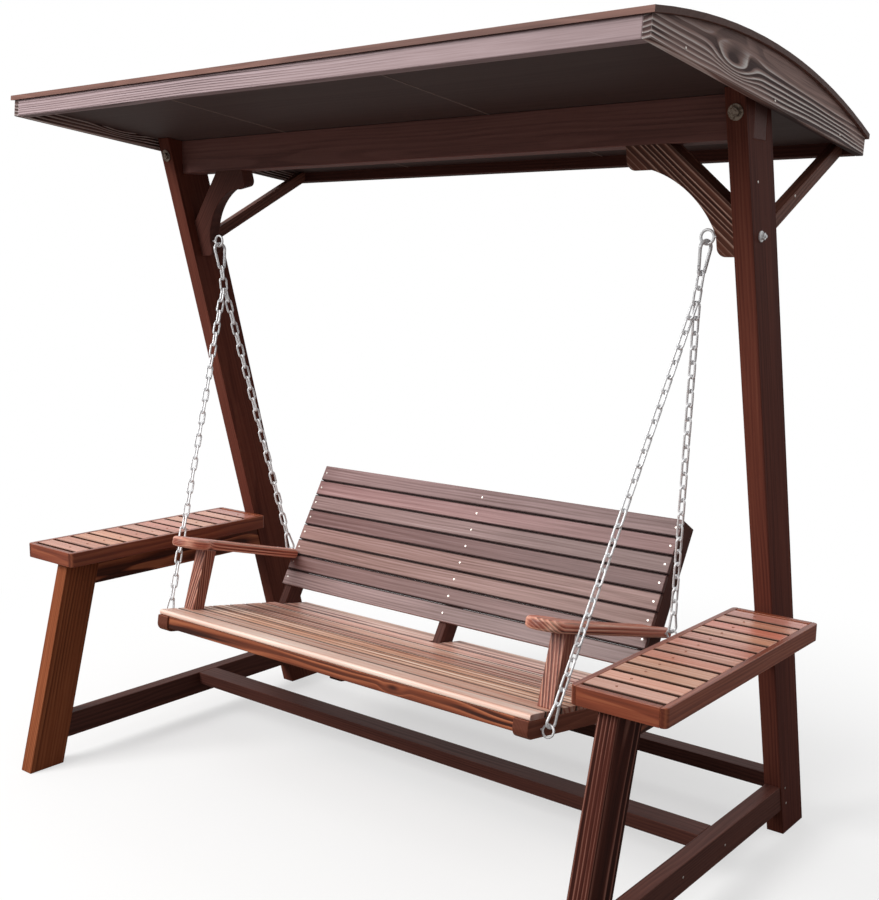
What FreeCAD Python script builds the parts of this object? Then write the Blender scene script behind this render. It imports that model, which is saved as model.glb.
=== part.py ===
import FreeCAD, Part
import math
import os
from types import SimpleNamespace

import Sketcher

# Canopy swing: a slatted timber bench hung on four chains under a roofed frame with two side tables.
# Millimetres. +X to the right of a person facing the back of the bench, +Y to the rear, +Z up.
# The origin is on the floor, in the middle of the four feet.

Vector = FreeCAD.Vector

# Driving sizes, in millimetres and degrees
SIZES = {
    # Uprights and lower frame
    "foot_spread": 1280,
    "upright_inner_x": 964,
    "upright_thickness": 50,
    "leg_depth": 117,
    "leg_lean": 14.5,
    "post_depth": 133,
    "post_lean": 15.25,
    "rail_thickness": 44,
    "rail_height": 76,
    "rail_clearance": 79,
    "centre_stretcher_y": 83,
    "centre_stretcher_depth": 76,
    "centre_stretcher_height": 40,
    "rear_stretcher_depth": 57,
    "rear_stretcher_height": 44,
    "rear_stretcher_setback": 10,
    # Side tables
    "table_inner_x": 905,
    "table_width": 234,
    "table_overhang": 37.7,
    "table_top_z": 691,
    "table_rail_height": 45,
    "table_rail_thickness": 16,
    "table_corner_radius": 13,
    "table_slat_thickness": 18,
    "table_slat_count": 12,
    "table_slat_gap": 13,
    "bearer_height": 110,
    # Top beam and knee braces
    "beam_setback": 30.6,
    "beam_thickness": 68,
    "beam_bottom_z": 1866,
    "brace_thickness": 45,
    "brace_reach": 280,
    "brace_drop": 272,
    "brace_nose_depth": 60,
    "brace_foot_depth": 58,
    "brace_nose_length": 66,
    "brace_foot_length": 52,
    "brace_nose_radius": 22,
    "brace_arch_radius": 244,
    "brace_top_gap": 161,
    "brace_side_gap": 161,
    # Canopy
    "canopy_setback": 24,
    "canopy_mid_z": 1934,
    "canopy_pitch": 5.8,
    "canopy_depth": 1162,
    "gable_gap": 16,
    "gable_thickness": 20,
    "gable_end_height": 46,
    "gable_rise": 68,
    "fascia_thickness": 30,
    "ceiling_height": 32,
    "ceiling_thickness": 10,
    "ceiling_panel_width": 757,
    "ceiling_panel_count": 3,
    "ceiling_seam": 3,
    "rib_thickness": 30,
    "roof_sheet_thickness": 13,
    "roof_overhang": 8,
    "strut_width": 30,
    "strut_depth": 34,
    "strut_foot_z": 1664,
    # Bench: the datum is the front top edge of the seat
    "seat_reach": 428.5,
    "seat_front_z": 520,
    "seat_tilt": 9.2,
    "seat_half_width": 695,
    "seat_slat_thickness": 16,
    "seat_slat_width": 65,
    "seat_slat_gap": 7,
    "seat_slat_count": 7,
    "seat_rail_thickness": 45,
    "seat_rail_height": 48,
    "seat_rail_nose": 5,
    "seat_rail_nose_radius": 24,
    "apron_height": 36,
    "apron_thickness": 24,
    "apron_setback": 2,
    "rear_seat_rail_thickness": 42,
    "stile_width": 30,
    "stile_depth": 61,
    "stile_slat_clearance": 2,
    "back_rake": 20.9,
    "back_start": 495,
    "back_slat_thickness": 18,
    "back_slat_width": 52.6,
    "back_slat_gap": 3,
    "back_slat_count": 8,
    "back_slat_lift": 70,
    # Armrests
    "arm_height": 202,
    "arm_thickness": 30,
    "arm_slope": 5.1,
    "arm_outset": 27,
    "arm_width": 54,
    "arm_nose_radius": 54,
    "arm_nose_start": 15,
    "arm_neck_length": 121,
    "arm_notch_clearance": 2,
    "arm_post_depth": 45,
    "arm_post_start": 95,
    "arm_post_lean": 8,
    # Hanging hardware
    "hanger_x": 878,
    "hanger_setback": 73,
    "hanger_z": 1652,
    "hanger_ring_radius": 17,
    "hanger_wire": 7,
    "hanger_nut_height": 8,
    "hanger_thread_tail": 4,
    "hanger_nut_width": 15,
    "hanger_washer_width": 26,
    "hanger_washer_thickness": 2.5,
    "seat_ring_radius": 15.5,
    "seat_eye_wire": 6,
    "seat_eye_neck": 2.5,
    "seat_eye_length": 40,
    "front_eye_setback": 55,
    "front_eye_drop": 26,
    "rear_eye_inset": 43,
    "upper_hook_wire": 9,
    "upper_hook_length": 90,
    "upper_hook_wide_bore": 13,
    "upper_hook_narrow_bore": 5.5,
    "lower_hook_wire": 7,
    "lower_hook_length": 70,
    "lower_hook_wide_bore": 10,
    "lower_hook_narrow_bore": 4.2,
    # Gate sizes, as parts of the hook's wire
    "gate_diameter_part": 0.91,
    "gate_pivot_part": 0.64,
    "gate_rivet_part": 0.34,
    "gate_tongue_part": 0.34,
    "gate_tongue_root_part": 0.14,
    "gate_slot_part": 0.79,
    "link_wire": 6,
    "link_width": 24,
    "link_pitch": 38,
    "top_link_count": 2,
    "joint_link_width": 28,
    "chain_twist": 18,
    "running_gap": 0.4,
    "rivet_clearance": 0.06,
    # Bolts, nails and eased edges
    "beam_bolt_z": 1920,
    "beam_bolt_diameter": 12,
    "beam_bolt_length": 100,
    "beam_bolt_head_width": 20,
    "beam_bolt_head_height": 6,
    "beam_washer_width": 37,
    "beam_washer_thickness": 3,
    "nail_head_diameter": 6,
    "nail_head_height": 1,
    "nail_diameter": 2.5,
    "nail_length": 40,
    "edge_round": 2.5,
    "slat_round": 2,
}


class Size:
    """A size with its value and the sheet expression that gives it, so that sums of sizes stay bound."""

    def __init__(self, value, text):
        self.value = float(value)
        self.text = text

    def __add__(self, other):
        other = as_size(other)
        return Size(self.value + other.value, f"({self.text} + {other.text})")

    def __sub__(self, other):
        other = as_size(other)
        return Size(self.value - other.value, f"({self.text} - {other.text})")

    def __mul__(self, other):
        other = as_size(other)
        return Size(self.value * other.value, f"({self.text} * {other.text})")

    def __truediv__(self, other):
        other = as_size(other)
        return Size(self.value / other.value, f"({self.text} / {other.text})")

    def __neg__(self):
        return Size(-self.value, f"(0 - {self.text})")

    def __radd__(self, other):
        return as_size(other) + self

    def __rsub__(self, other):
        return as_size(other) - self

    def __rmul__(self, other):
        return as_size(other) * self

    def __rtruediv__(self, other):
        return as_size(other) / self


def as_size(value):
    """A plain number as a size."""
    if isinstance(value, Size):
        return value
    return Size(value, repr(value))


def sine(angle):
    return Size(math.sin(math.radians(angle.value)), f"sin({angle.text})")


def cosine(angle):
    return Size(math.cos(math.radians(angle.value)), f"cos({angle.text})")


def tangent(angle):
    return Size(math.tan(math.radians(angle.value)), f"tan({angle.text})")


def arctangent(ratio):
    return Size(math.degrees(math.atan(ratio.value)), f"atan({ratio.text})")


def root(number):
    return Size(math.sqrt(number.value), f"sqrt({number.text})")


doc = FreeCAD.newDocument("CanopySwing")
sheet = doc.addObject("Spreadsheet::Sheet", "Sizes")
for row, (alias, number) in enumerate(SIZES.items(), start=1):
    sheet.set(f"A{row}", alias)
    sheet.set(f"B{row}", str(number))
    sheet.setAlias(f"B{row}", alias)
doc.recompute()

size = SimpleNamespace(**{alias: Size(number, f"Sizes.{alias}") for alias, number in SIZES.items()})
nodes = {}


def node(label, item):
    """Names a finished sub-part and keeps it for the hand-over."""
    item.Label = label
    nodes[label] = item
    return item


# Outlines, boards and frames of reference


class Corner:
    """An outline point; with a radius, an arc leads from it to the next point."""

    def __init__(self, across, up, radius=None, hollow=False):
        self.across = as_size(across)
        self.up = as_size(up)
        self.radius = radius
        self.hollow = hollow

    def point(self):
        return Vector(self.across.value, self.up.value, 0)


def arc_between(start, end, radius, hollow):
    """The arc of an anticlockwise outline from start to end: bulging outwards, or inwards where hollow."""
    chord = end - start
    left = Vector(-chord.y, chord.x, 0).normalize()
    reach = math.sqrt(max(radius ** 2 - (chord.Length / 2) ** 2, 0))
    side = -1 if hollow else 1
    centre = (start + end) * 0.5 + left * (side * reach)
    first, last = (end, start) if hollow else (start, end)
    circle = Part.Circle(centre, Vector(0, 0, 1), radius)
    return Part.ArcOfCircle(circle, circle.parameter(first), circle.parameter(last))


def draw(sketch, corners):
    """Draws a closed anticlockwise outline and binds its points and radii to the sheet."""
    count = len(corners)
    starts = []
    ends = []
    for index, corner in enumerate(corners):
        start = corner.point()
        end = corners[(index + 1) % count].point()
        if corner.radius is None:
            sketch.addGeometry(Part.LineSegment(start, end), False)
        else:
            sketch.addGeometry(arc_between(start, end, corner.radius.value, corner.hollow), False)
        starts.append(2 if corner.hollow else 1)
        ends.append(1 if corner.hollow else 2)
    for index in range(count):
        follower = (index + 1) % count
        joint = Sketcher.Constraint("Coincident", index, ends[index], follower, starts[follower])
        sketch.addConstraint(joint)
    for index, corner in enumerate(corners):
        for kind, place in (("DistanceX", corner.across), ("DistanceY", corner.up)):
            bind_constraint(sketch, Sketcher.Constraint(kind, -1, 1, index, starts[index], place.value), place)
        if corner.radius is not None:
            bind_constraint(sketch, Sketcher.Constraint("Radius", index, corner.radius.value), corner.radius)


def bind_constraint(sketch, constraint, amount):
    number = sketch.addConstraint(constraint)
    sketch.setExpression(f"Constraints[{number}]", amount.text)


class Place:
    """A frame of reference: an origin on the sheet, tipped back about X by an angle on the sheet."""

    def __init__(self, across=0, back=0, up=0, tip=None):
        self.across = as_size(across)
        self.back = as_size(back)
        self.up = as_size(up)
        self.tip = tip

    def shifted(self, across=0, back=0, up=0):
        """The same frame with its origin moved along its own tipped axes."""
        back = as_size(back)
        up = as_size(up)
        world_back, world_up = self.turn(back, up)
        return Place(self.across + across, self.back + world_back, self.up + world_up, self.tip)

    def turn(self, back, up):
        """A step along the tipped axes, in level axes."""
        if self.tip is None:
            return as_size(back), as_size(up)
        lean_sine, lean_cosine = sine(self.tip), cosine(self.tip)
        return back * lean_cosine + up * lean_sine, up * lean_cosine - back * lean_sine

    def world(self, across, back, up):
        """The level position of a point of this frame, as numbers."""
        world_back, world_up = self.turn(as_size(back), as_size(up))
        place = (self.across + across, self.back + world_back, self.up + world_up)
        return Vector(*(part.value for part in place))

    def apply(self, item):
        """Binds an object's placement to this frame."""
        turn = FreeCAD.Rotation()
        if self.tip is not None:
            turn = FreeCAD.Rotation(Vector(-1, 0, 0), self.tip.value)
        base = Vector(self.across.value, self.back.value, self.up.value)
        item.Placement = FreeCAD.Placement(base, turn)
        item.setExpression("Placement.Base.x", self.across.text)
        item.setExpression("Placement.Base.y", self.back.text)
        item.setExpression("Placement.Base.z", self.up.text)
        if self.tip is not None:
            item.setExpression("Placement.Rotation.Angle", self.tip.text)


def board(label, plane, corners, thickness, place, ease=None, rims_only=False):
    """A board: an outline padded by its thickness, with all its edges or only its rims eased."""
    body = doc.addObject("PartDesign::Body", label)
    body.Label = label
    place.apply(body)
    sketch = body.newObject("Sketcher::SketchObject", f"{label}_outline")
    support = [item for item in body.Origin.OriginFeatures if item.Role == plane][0]
    sketch.AttachmentSupport = (support, [""])
    sketch.MapMode = "FlatFace"
    draw(sketch, corners)
    pad = body.newObject("PartDesign::Pad", f"{label}_pad")
    pad.Profile = sketch
    pad.setExpression("Length", thickness.text)
    # Unrefined, a pad has one face for each line of its outline and then its two flat caps.
    pad.Refine = not rims_only
    if ease is not None:
        fillet = body.newObject("PartDesign::Fillet", f"{label}_ease")
        caps = [f"Face{len(corners) + number}" for number in (1, 2)]
        fillet.Base = (pad, caps if rims_only else [""])
        fillet.UseAllEdges = not rims_only
        fillet.setExpression("Radius", ease.text)
    return body


def side_board(label, corners, start_x, thickness, place=None, ease=size.edge_round):
    """A board with its outline in the YZ plane of its frame, from start_x outwards along X."""
    place = place or Place()
    return board(label, "YZ_Plane", corners, thickness, place.shifted(across=start_x), ease)


def rectangle(low_across, low_up, wide, tall):
    """The four corners of a rectangle."""
    return [
        Corner(low_across, low_up),
        Corner(low_across + wide, low_up),
        Corner(low_across + wide, low_up + tall),
        Corner(low_across, low_up + tall),
    ]


def mirrored(label, source):
    """The left-hand twin of a right-hand piece."""
    twin = doc.addObject("Part::Mirroring", label)
    twin.Source = source
    twin.Normal = Vector(1, 0, 0)
    return node(label, twin)


def both_sides(name, right_piece):
    """Keeps a right-hand piece and its mirrored twin as two sub-parts."""
    node(f"right_{name}", right_piece)
    mirrored(f"left_{name}", right_piece)


def group(label, items):
    """One sub-part made of several separate solids."""
    bundle = doc.addObject("Part::Compound", label)
    bundle.Links = items
    return node(label, bundle)


def solid(label, shape):
    """A sub-part whose shape is worked out from the sizes."""
    item = doc.addObject("Part::Feature", label)
    item.Shape = shape
    return node(label, item)


# Frame: leaning legs and posts, rails and stretchers

half_spread = size.foot_spread / 2
leg_slope = tangent(size.leg_lean)
post_slope = tangent(size.post_lean)
leg_run = size.leg_depth / cosine(size.leg_lean)
post_run = size.post_depth / cosine(size.post_lean)
upright_outer_x = size.upright_inner_x + size.upright_thickness
rail_inner_x = size.upright_inner_x + (size.upright_thickness - size.rail_thickness) / 2
slat_bottom_z = size.table_top_z - size.table_slat_thickness
pitch_slope = tangent(size.canopy_pitch)


def leg_front_y(height):
    return height * leg_slope - half_spread


def leg_rear_y(height):
    return leg_front_y(height) + leg_run


def post_rear_y(height):
    return half_spread - height * post_slope


def post_front_y(height):
    return post_rear_y(height) - post_run


# The beam is let into the posts behind their front faces; canopy and hangers are placed from it.
beam_front_y = post_front_y(size.beam_bottom_z) + size.beam_setback
beam_rear_y = beam_front_y + size.beam_thickness
canopy_mid_y = beam_front_y + size.canopy_setback
hanger_y = beam_front_y + size.hanger_setback


def ceiling_z(back):
    """Height of the ceiling's underside at a depth."""
    return size.canopy_mid_z + size.ceiling_height / cosine(size.canopy_pitch) \
        - (back - canopy_mid_y) * pitch_slope


def post_top_y(foot_y):
    """Depth at which a post face that starts at foot_y meets the ceiling's underside."""
    level = ceiling_z(as_size(0))
    return (foot_y - post_slope * level) / (1 - post_slope * pitch_slope)


def build_uprights():
    floor = as_size(0)
    leg = side_board("right_front_leg", [
        Corner(leg_front_y(floor), floor),
        Corner(leg_rear_y(floor), floor),
        Corner(leg_rear_y(slat_bottom_z), slat_bottom_z),
        Corner(leg_front_y(slat_bottom_z), slat_bottom_z),
    ], size.upright_inner_x, size.upright_thickness)
    both_sides("front_leg", leg)

    # The post's head is slotted: the beam lies in it as in a bridle joint.
    front_top_y = post_top_y(half_spread - post_run)
    rear_top_y = post_top_y(half_spread)
    post = side_board("right_rear_post", [
        Corner(post_front_y(floor), floor),
        Corner(post_rear_y(floor), floor),
        Corner(rear_top_y, ceiling_z(rear_top_y)),
        Corner(beam_rear_y, ceiling_z(beam_rear_y)),
        Corner(beam_rear_y, size.beam_bottom_z),
        Corner(beam_front_y, size.beam_bottom_z),
        Corner(beam_front_y, ceiling_z(beam_front_y)),
        Corner(front_top_y, ceiling_z(front_top_y)),
    ], size.upright_inner_x, size.upright_thickness, ease=size.slat_round)
    both_sides("rear_post", post)


def build_rails():
    rail_top_z = size.rail_clearance + size.rail_height
    rail = side_board("right_bottom_rail", [
        Corner(leg_rear_y(size.rail_clearance), size.rail_clearance),
        Corner(post_front_y(size.rail_clearance), size.rail_clearance),
        Corner(post_front_y(rail_top_z), rail_top_z),
        Corner(leg_rear_y(rail_top_z), rail_top_z),
    ], rail_inner_x, size.rail_thickness)
    both_sides("bottom_rail", rail)

    stretcher_front_y = size.centre_stretcher_y - size.centre_stretcher_depth / 2
    node("centre_stretcher", side_board("centre_stretcher", rectangle(
        stretcher_front_y, rail_top_z - size.centre_stretcher_height,
        size.centre_stretcher_depth, size.centre_stretcher_height,
    ), -rail_inner_x, rail_inner_x * 2))

    rear_y = post_rear_y(rail_top_z) - size.rear_stretcher_setback
    node("rear_stretcher", side_board("rear_stretcher", rectangle(
        rear_y - size.rear_stretcher_depth, rail_top_z - size.rear_stretcher_height,
        size.rear_stretcher_depth, size.rear_stretcher_height,
    ), -size.upright_inner_x, size.upright_inner_x * 2))


# Side tables

table_front_y = leg_front_y(size.table_top_z) - size.table_overhang
table_rear_y = post_front_y(size.table_top_z)
table_outer_x = size.table_inner_x + size.table_width
table_rail_bottom_z = size.table_top_z - size.table_rail_height
table_slat_space = table_rear_y - table_front_y - size.table_rail_thickness * 2
table_slat_width = (table_slat_space - size.table_slat_gap * (size.table_slat_count + 1)) / size.table_slat_count


def table_slat_front_y(number):
    step = table_slat_width + size.table_slat_gap
    return table_front_y + size.table_rail_thickness + size.table_slat_gap + step * number


def table_side_rail(label, outer_x, inward):
    """A long table rail whose two outer corners are rounded; inward is +1 or -1 along X."""
    inner_x = outer_x + size.table_rail_thickness * inward
    shoulder_x = outer_x + size.table_corner_radius * inward
    front = table_front_y
    rear = table_rear_y
    radius = size.table_corner_radius
    loop = [
        Corner(inner_x, front),
        Corner(inner_x, rear),
        Corner(shoulder_x, rear, radius),
        Corner(outer_x, rear - radius),
        Corner(outer_x, front + radius, radius),
        Corner(shoulder_x, front),
    ]
    if inward < 0:
        loop = [
            Corner(inner_x, rear),
            Corner(inner_x, front),
            Corner(shoulder_x, front, radius),
            Corner(outer_x, front + radius),
            Corner(outer_x, rear - radius, radius),
            Corner(shoulder_x, rear),
        ]
    return board(label, "XY_Plane", loop, size.table_rail_height, Place(up=table_rail_bottom_z), size.slat_round)


def build_tables():
    end_start_x = size.table_inner_x + size.table_rail_thickness
    end_length = size.table_width - size.table_rail_thickness * 2
    rails = [
        table_side_rail("table_inner_rail", size.table_inner_x, 1),
        table_side_rail("table_outer_rail", table_outer_x, -1),
    ]
    for name, start_y in (("front", table_front_y), ("rear", table_rear_y - size.table_rail_thickness)):
        section = rectangle(start_y, table_rail_bottom_z, size.table_rail_thickness, size.table_rail_height)
        rails.append(side_board(f"table_{name}_rail", section, end_start_x, end_length, ease=size.slat_round))
    frame = group("right_table_frame", rails)
    mirrored("left_table_frame", frame)

    slats = []
    for number in range(SIZES["table_slat_count"]):
        section = rectangle(
            table_slat_front_y(number), slat_bottom_z, table_slat_width, size.table_slat_thickness)
        slats.append(side_board(f"table_slat_{number}", section, end_start_x, end_length, ease=size.slat_round))
    deck = group("right_table_slats", slats)
    mirrored("left_table_slats", deck)

    # The bearer between leg and post carries the slats, and is rebated under the table's rear rail.
    bearer_bottom_z = slat_bottom_z - size.bearer_height
    rebate_y = table_rear_y - size.table_rail_thickness
    bearer = side_board("right_table_bearer", [
        Corner(leg_rear_y(bearer_bottom_z), bearer_bottom_z),
        Corner(post_front_y(bearer_bottom_z), bearer_bottom_z),
        Corner(post_front_y(table_rail_bottom_z), table_rail_bottom_z),
        Corner(rebate_y, table_rail_bottom_z),
        Corner(rebate_y, slat_bottom_z),
        Corner(leg_rear_y(slat_bottom_z), slat_bottom_z),
    ], rail_inner_x, size.rail_thickness, ease=size.slat_round)
    both_sides("table_bearer", bearer)


# Top beam and knee braces


def build_beam():
    node("top_beam", side_board("top_beam", [
        Corner(beam_front_y, size.beam_bottom_z),
        Corner(beam_rear_y, size.beam_bottom_z),
        Corner(beam_rear_y, ceiling_z(beam_rear_y)),
        Corner(beam_front_y, ceiling_z(beam_front_y)),
    ], -upright_outer_x, upright_outer_x * 2))


def build_knee_brace():
    """An arched brace that leans with the post, flush with the beam's front, with rounded noses."""
    # Distances are measured down the front face from the beam's lower front edge.
    thickness = size.brace_thickness
    rear_face = Place(
        back=beam_front_y + thickness * cosine(size.post_lean),
        up=size.beam_bottom_z + thickness * sine(size.post_lean),
        tip=-size.post_lean,
    )

    def at(from_post, below_beam, radius=None, hollow=False):
        return Corner(size.upright_inner_x - from_post, -below_beam, radius, hollow)

    # The head is left long, then cut off level under the beam.
    spare = thickness
    spare_gap = size.brace_top_gap * (1 + spare / size.brace_side_gap)
    nose = size.brace_nose_radius
    blank = board("knee_brace_blank", "XZ_Plane", [
        at(0, size.brace_side_gap),
        at(spare_gap, -spare),
        at(size.brace_reach, -spare),
        at(size.brace_reach, size.brace_nose_depth - nose, nose),
        at(size.brace_reach - nose, size.brace_nose_depth),
        at(size.brace_reach - size.brace_nose_length, size.brace_nose_depth, size.brace_arch_radius, True),
        at(size.brace_foot_depth, size.brace_drop - size.brace_foot_length),
        at(size.brace_foot_depth, size.brace_drop - nose, nose),
        at(size.brace_foot_depth - nose, size.brace_drop),
        at(0, size.brace_drop),
    ], thickness, rear_face, size.slat_round)
    offcut = side_board("knee_brace_offcut", rectangle(
        beam_front_y - thickness, size.beam_bottom_z, thickness * 3, thickness * 3,
    ), as_size(0), size.upright_inner_x, ease=None)
    brace = doc.addObject("Part::Cut", "right_knee_brace")
    brace.Base = blank
    brace.Tool = offcut
    both_sides("knee_brace", brace)


# Canopy, in a frame tipped back by its pitch, with its origin in the middle of the gables' lower edges

canopy = Place(back=canopy_mid_y, up=size.canopy_mid_z, tip=size.canopy_pitch)
half_depth = size.canopy_depth / 2
arch_radius = (half_depth * half_depth + size.gable_rise * size.gable_rise) / (size.gable_rise * 2)
arch_centre = size.gable_end_height + size.gable_rise - arch_radius
inner_half_depth = half_depth - size.fascia_thickness
canopy_inner_x = upright_outer_x + size.gable_gap


def arch_height(along, radius):
    """Height of an arch about the roof's centre line at a distance along the slope."""
    return arch_centre + root(radius * radius - along * along)


def build_canopy():
    gable = side_board("right_gable_board", [
        Corner(-half_depth, 0),
        Corner(half_depth, 0),
        Corner(half_depth, size.gable_end_height, arch_radius),
        Corner(-half_depth, size.gable_end_height),
    ], canopy_inner_x, size.gable_thickness, canopy, size.slat_round)
    both_sides("gable_board", gable)

    for name, start in (("front", -half_depth), ("rear", inner_half_depth)):
        section = rectangle(start, as_size(0), size.fascia_thickness, size.gable_end_height)
        fascia = side_board(f"{name}_fascia", section, -canopy_inner_x, canopy_inner_x * 2, canopy)
        node(f"{name}_fascia", fascia)

    # Full-width panels are laid from the right-hand gable; the last one is cut to fit.
    panel_step = size.ceiling_panel_width + size.ceiling_seam
    panel_count = SIZES["ceiling_panel_count"]
    panels = []
    for number in range(panel_count):
        end_x = canopy_inner_x - panel_step * number
        width = end_x + canopy_inner_x if number == panel_count - 1 else size.ceiling_panel_width
        section = rectangle(-inner_half_depth, size.ceiling_height, inner_half_depth * 2, size.ceiling_thickness)
        panels.append(side_board(f"ceiling_panel_{number}", section, end_x - width, width, canopy, None))
    group("ceiling_panels", panels)

    rib_bottom = size.ceiling_height + size.ceiling_thickness
    rib_end = arch_height(inner_half_depth, arch_radius)
    ribs = []
    for number in range(1, panel_count):
        middle_x = canopy_inner_x - panel_step * number + size.ceiling_seam / 2
        ribs.append(side_board(f"roof_rib_{number}", [
            Corner(-inner_half_depth, rib_bottom),
            Corner(inner_half_depth, rib_bottom),
            Corner(inner_half_depth, rib_end, arch_radius),
            Corner(-inner_half_depth, rib_end),
        ], middle_x - size.rib_thickness / 2, size.rib_thickness, canopy, None))
    group("roof_ribs", ribs)

    eave = half_depth + size.roof_overhang
    sheet_radius = arch_radius + size.roof_sheet_thickness
    verge_x = canopy_inner_x + size.gable_thickness + size.roof_overhang
    node("roof_sheet", side_board("roof_sheet", [
        Corner(-eave, arch_height(eave, arch_radius), arch_radius, True),
        Corner(eave, arch_height(eave, arch_radius)),
        Corner(eave, arch_height(eave, sheet_radius), sheet_radius),
        Corner(-eave, arch_height(eave, sheet_radius)),
    ], -verge_x, verge_x * 2, canopy, None))


def build_roof_strut():
    """A strut from the back of the post to the rear fascia's lower edge, butted against fascia and ceiling."""
    head = canopy.shifted(back=inner_half_depth)
    corner = canopy.shifted(back=inner_half_depth, up=size.ceiling_height)
    foot_y = post_rear_y(size.strut_foot_z)
    slope = (head.up - size.strut_foot_z) / (head.back - foot_y)
    # The upper edge is parallel to the lower one; level is its height at zero depth.
    level = size.strut_foot_z + size.strut_depth * root(1 + slope * slope) - slope * foot_y
    high_foot_y = (half_spread - post_slope * level) / (1 + post_slope * slope)
    high_head_y = (ceiling_z(as_size(0)) - level) / (slope + pitch_slope)
    inner_x = size.upright_inner_x + (size.upright_thickness - size.strut_width) / 2
    strut = side_board("right_roof_strut", [
        Corner(foot_y, size.strut_foot_z),
        Corner(head.back, head.up),
        Corner(corner.back, corner.up),
        Corner(high_head_y, level + slope * high_head_y),
        Corner(high_foot_y, level + slope * high_foot_y),
    ], inner_x, size.strut_width, ease=size.slat_round)
    both_sides("roof_strut", strut)


# Bench, in a frame tipped back by the seat's tilt, with its origin at the seat's front top edge

bench = Place(back=hanger_y - size.seat_reach, up=size.seat_front_z, tip=size.seat_tilt)
rake_slope = tangent(size.back_rake)
rake_cosine = cosine(size.back_rake)
rake_sine = sine(size.back_rake)
stile_inner_x = size.seat_half_width - size.stile_width
seat_rail_inner_x = size.seat_half_width - size.seat_rail_thickness
seat_rail_bottom = -(size.seat_slat_thickness + size.seat_rail_height)
stile_front = size.back_slat_thickness
stile_rear = stile_front + size.stile_depth
back_length = size.back_slat_lift + size.back_slat_width * size.back_slat_count \
    + size.back_slat_gap * (size.back_slat_count - 1)
seat_step = size.seat_slat_width + size.seat_slat_gap
slats_end = seat_step * size.seat_slat_count
stile_under_seat = size.back_start + stile_rear / rake_cosine - size.seat_slat_thickness * rake_slope
seat_depth = stile_under_seat + size.rear_seat_rail_thickness
back = Place(
    back=bench.shifted(back=size.back_start).back,
    up=bench.shifted(back=size.back_start).up,
    tip=size.seat_tilt + size.back_rake,
)


def stile_outline():
    """A stile seen from the side: square at the top, cut level with the seat rails at the foot."""

    def foot(behind):
        return Corner(size.back_start + behind / rake_cosine + seat_rail_bottom * rake_slope, seat_rail_bottom)

    def head(behind):
        return Corner(
            size.back_start + back_length * rake_sine + behind * rake_cosine,
            back_length * rake_cosine - behind * rake_sine,
        )

    return [foot(stile_front), foot(stile_rear), head(stile_rear), head(stile_front)]


def build_seat_frame():
    # Each side rail is housed on its outer side for the stile that stands in it.
    nose = size.seat_rail_nose_radius
    rail_front = -size.seat_rail_nose
    rail_blank = side_board("seat_rail_blank", [
        Corner(rail_front, -size.seat_slat_thickness),
        Corner(rail_front, seat_rail_bottom + nose, nose),
        Corner(rail_front + nose, seat_rail_bottom),
        Corner(seat_depth, seat_rail_bottom),
        Corner(seat_depth, -size.seat_slat_thickness),
    ], seat_rail_inner_x, size.seat_rail_thickness, bench)
    housing = side_board(
        "stile_housing", stile_outline(), stile_inner_x, size.stile_width * 2, bench, None)
    rail = doc.addObject("Part::Cut", "right_seat_rail")
    rail.Base = rail_blank
    rail.Tool = housing
    both_sides("seat_rail", rail)

    node("front_apron", side_board("front_apron", rectangle(
        size.apron_setback, -(size.seat_slat_thickness + size.apron_height),
        size.apron_thickness, size.apron_height,
    ), -seat_rail_inner_x, seat_rail_inner_x * 2, bench))
    node("rear_seat_rail", side_board("rear_seat_rail", rectangle(
        stile_under_seat, seat_rail_bottom, size.rear_seat_rail_thickness, size.seat_rail_height,
    ), -seat_rail_inner_x, seat_rail_inner_x * 2, bench))
    apron_rear = size.apron_setback + size.apron_thickness
    node("seat_centre_rail", side_board("seat_centre_rail", rectangle(
        apron_rear, seat_rail_bottom, stile_under_seat - apron_rear, size.seat_rail_height,
    ), size.stile_width / 2, size.seat_rail_thickness, bench))


def nosed_section():
    """The section of the front seat slat, with its front edges rounded over."""
    thickness = size.seat_slat_thickness
    nose = thickness * 0.42
    return [
        Corner(nose, -thickness),
        Corner(size.seat_slat_width, -thickness),
        Corner(size.seat_slat_width, 0),
        Corner(nose, 0, nose),
        Corner(0, -nose),
        Corner(0, nose - thickness, nose),
    ]


def build_slats():
    full_width = size.seat_half_width * 2
    seat_slats = []
    for number in range(SIZES["seat_slat_count"]):
        section = nosed_section() if number == 0 else rectangle(
            seat_step * number, -size.seat_slat_thickness, size.seat_slat_width, size.seat_slat_thickness)
        seat_slats.append(side_board(
            f"seat_slat_{number}", section, -size.seat_half_width, full_width, bench, size.slat_round))
    # The rearmost slat is in two lengths, between the stiles.
    rear_section = rectangle(
        slats_end, -size.seat_slat_thickness, seat_depth - slats_end, size.seat_slat_thickness)
    inner_x = size.stile_width / 2 + size.stile_slat_clearance
    rear_length = stile_inner_x - size.stile_slat_clearance - inner_x
    for name, start_x in (("left", -(inner_x + rear_length)), ("right", inner_x)):
        seat_slats.append(side_board(
            f"rear_seat_slat_{name}", rear_section, start_x, rear_length, bench, size.slat_round))
    group("seat_slats", seat_slats)

    back_slats = []
    back_step = size.back_slat_width + size.back_slat_gap
    for number in range(SIZES["back_slat_count"]):
        section = rectangle(
            as_size(0), size.back_slat_lift + back_step * number, size.back_slat_thickness, size.back_slat_width)
        back_slats.append(side_board(
            f"back_slat_{number}", section, -size.seat_half_width, full_width, back, size.slat_round))
    group("back_slats", back_slats)


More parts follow.
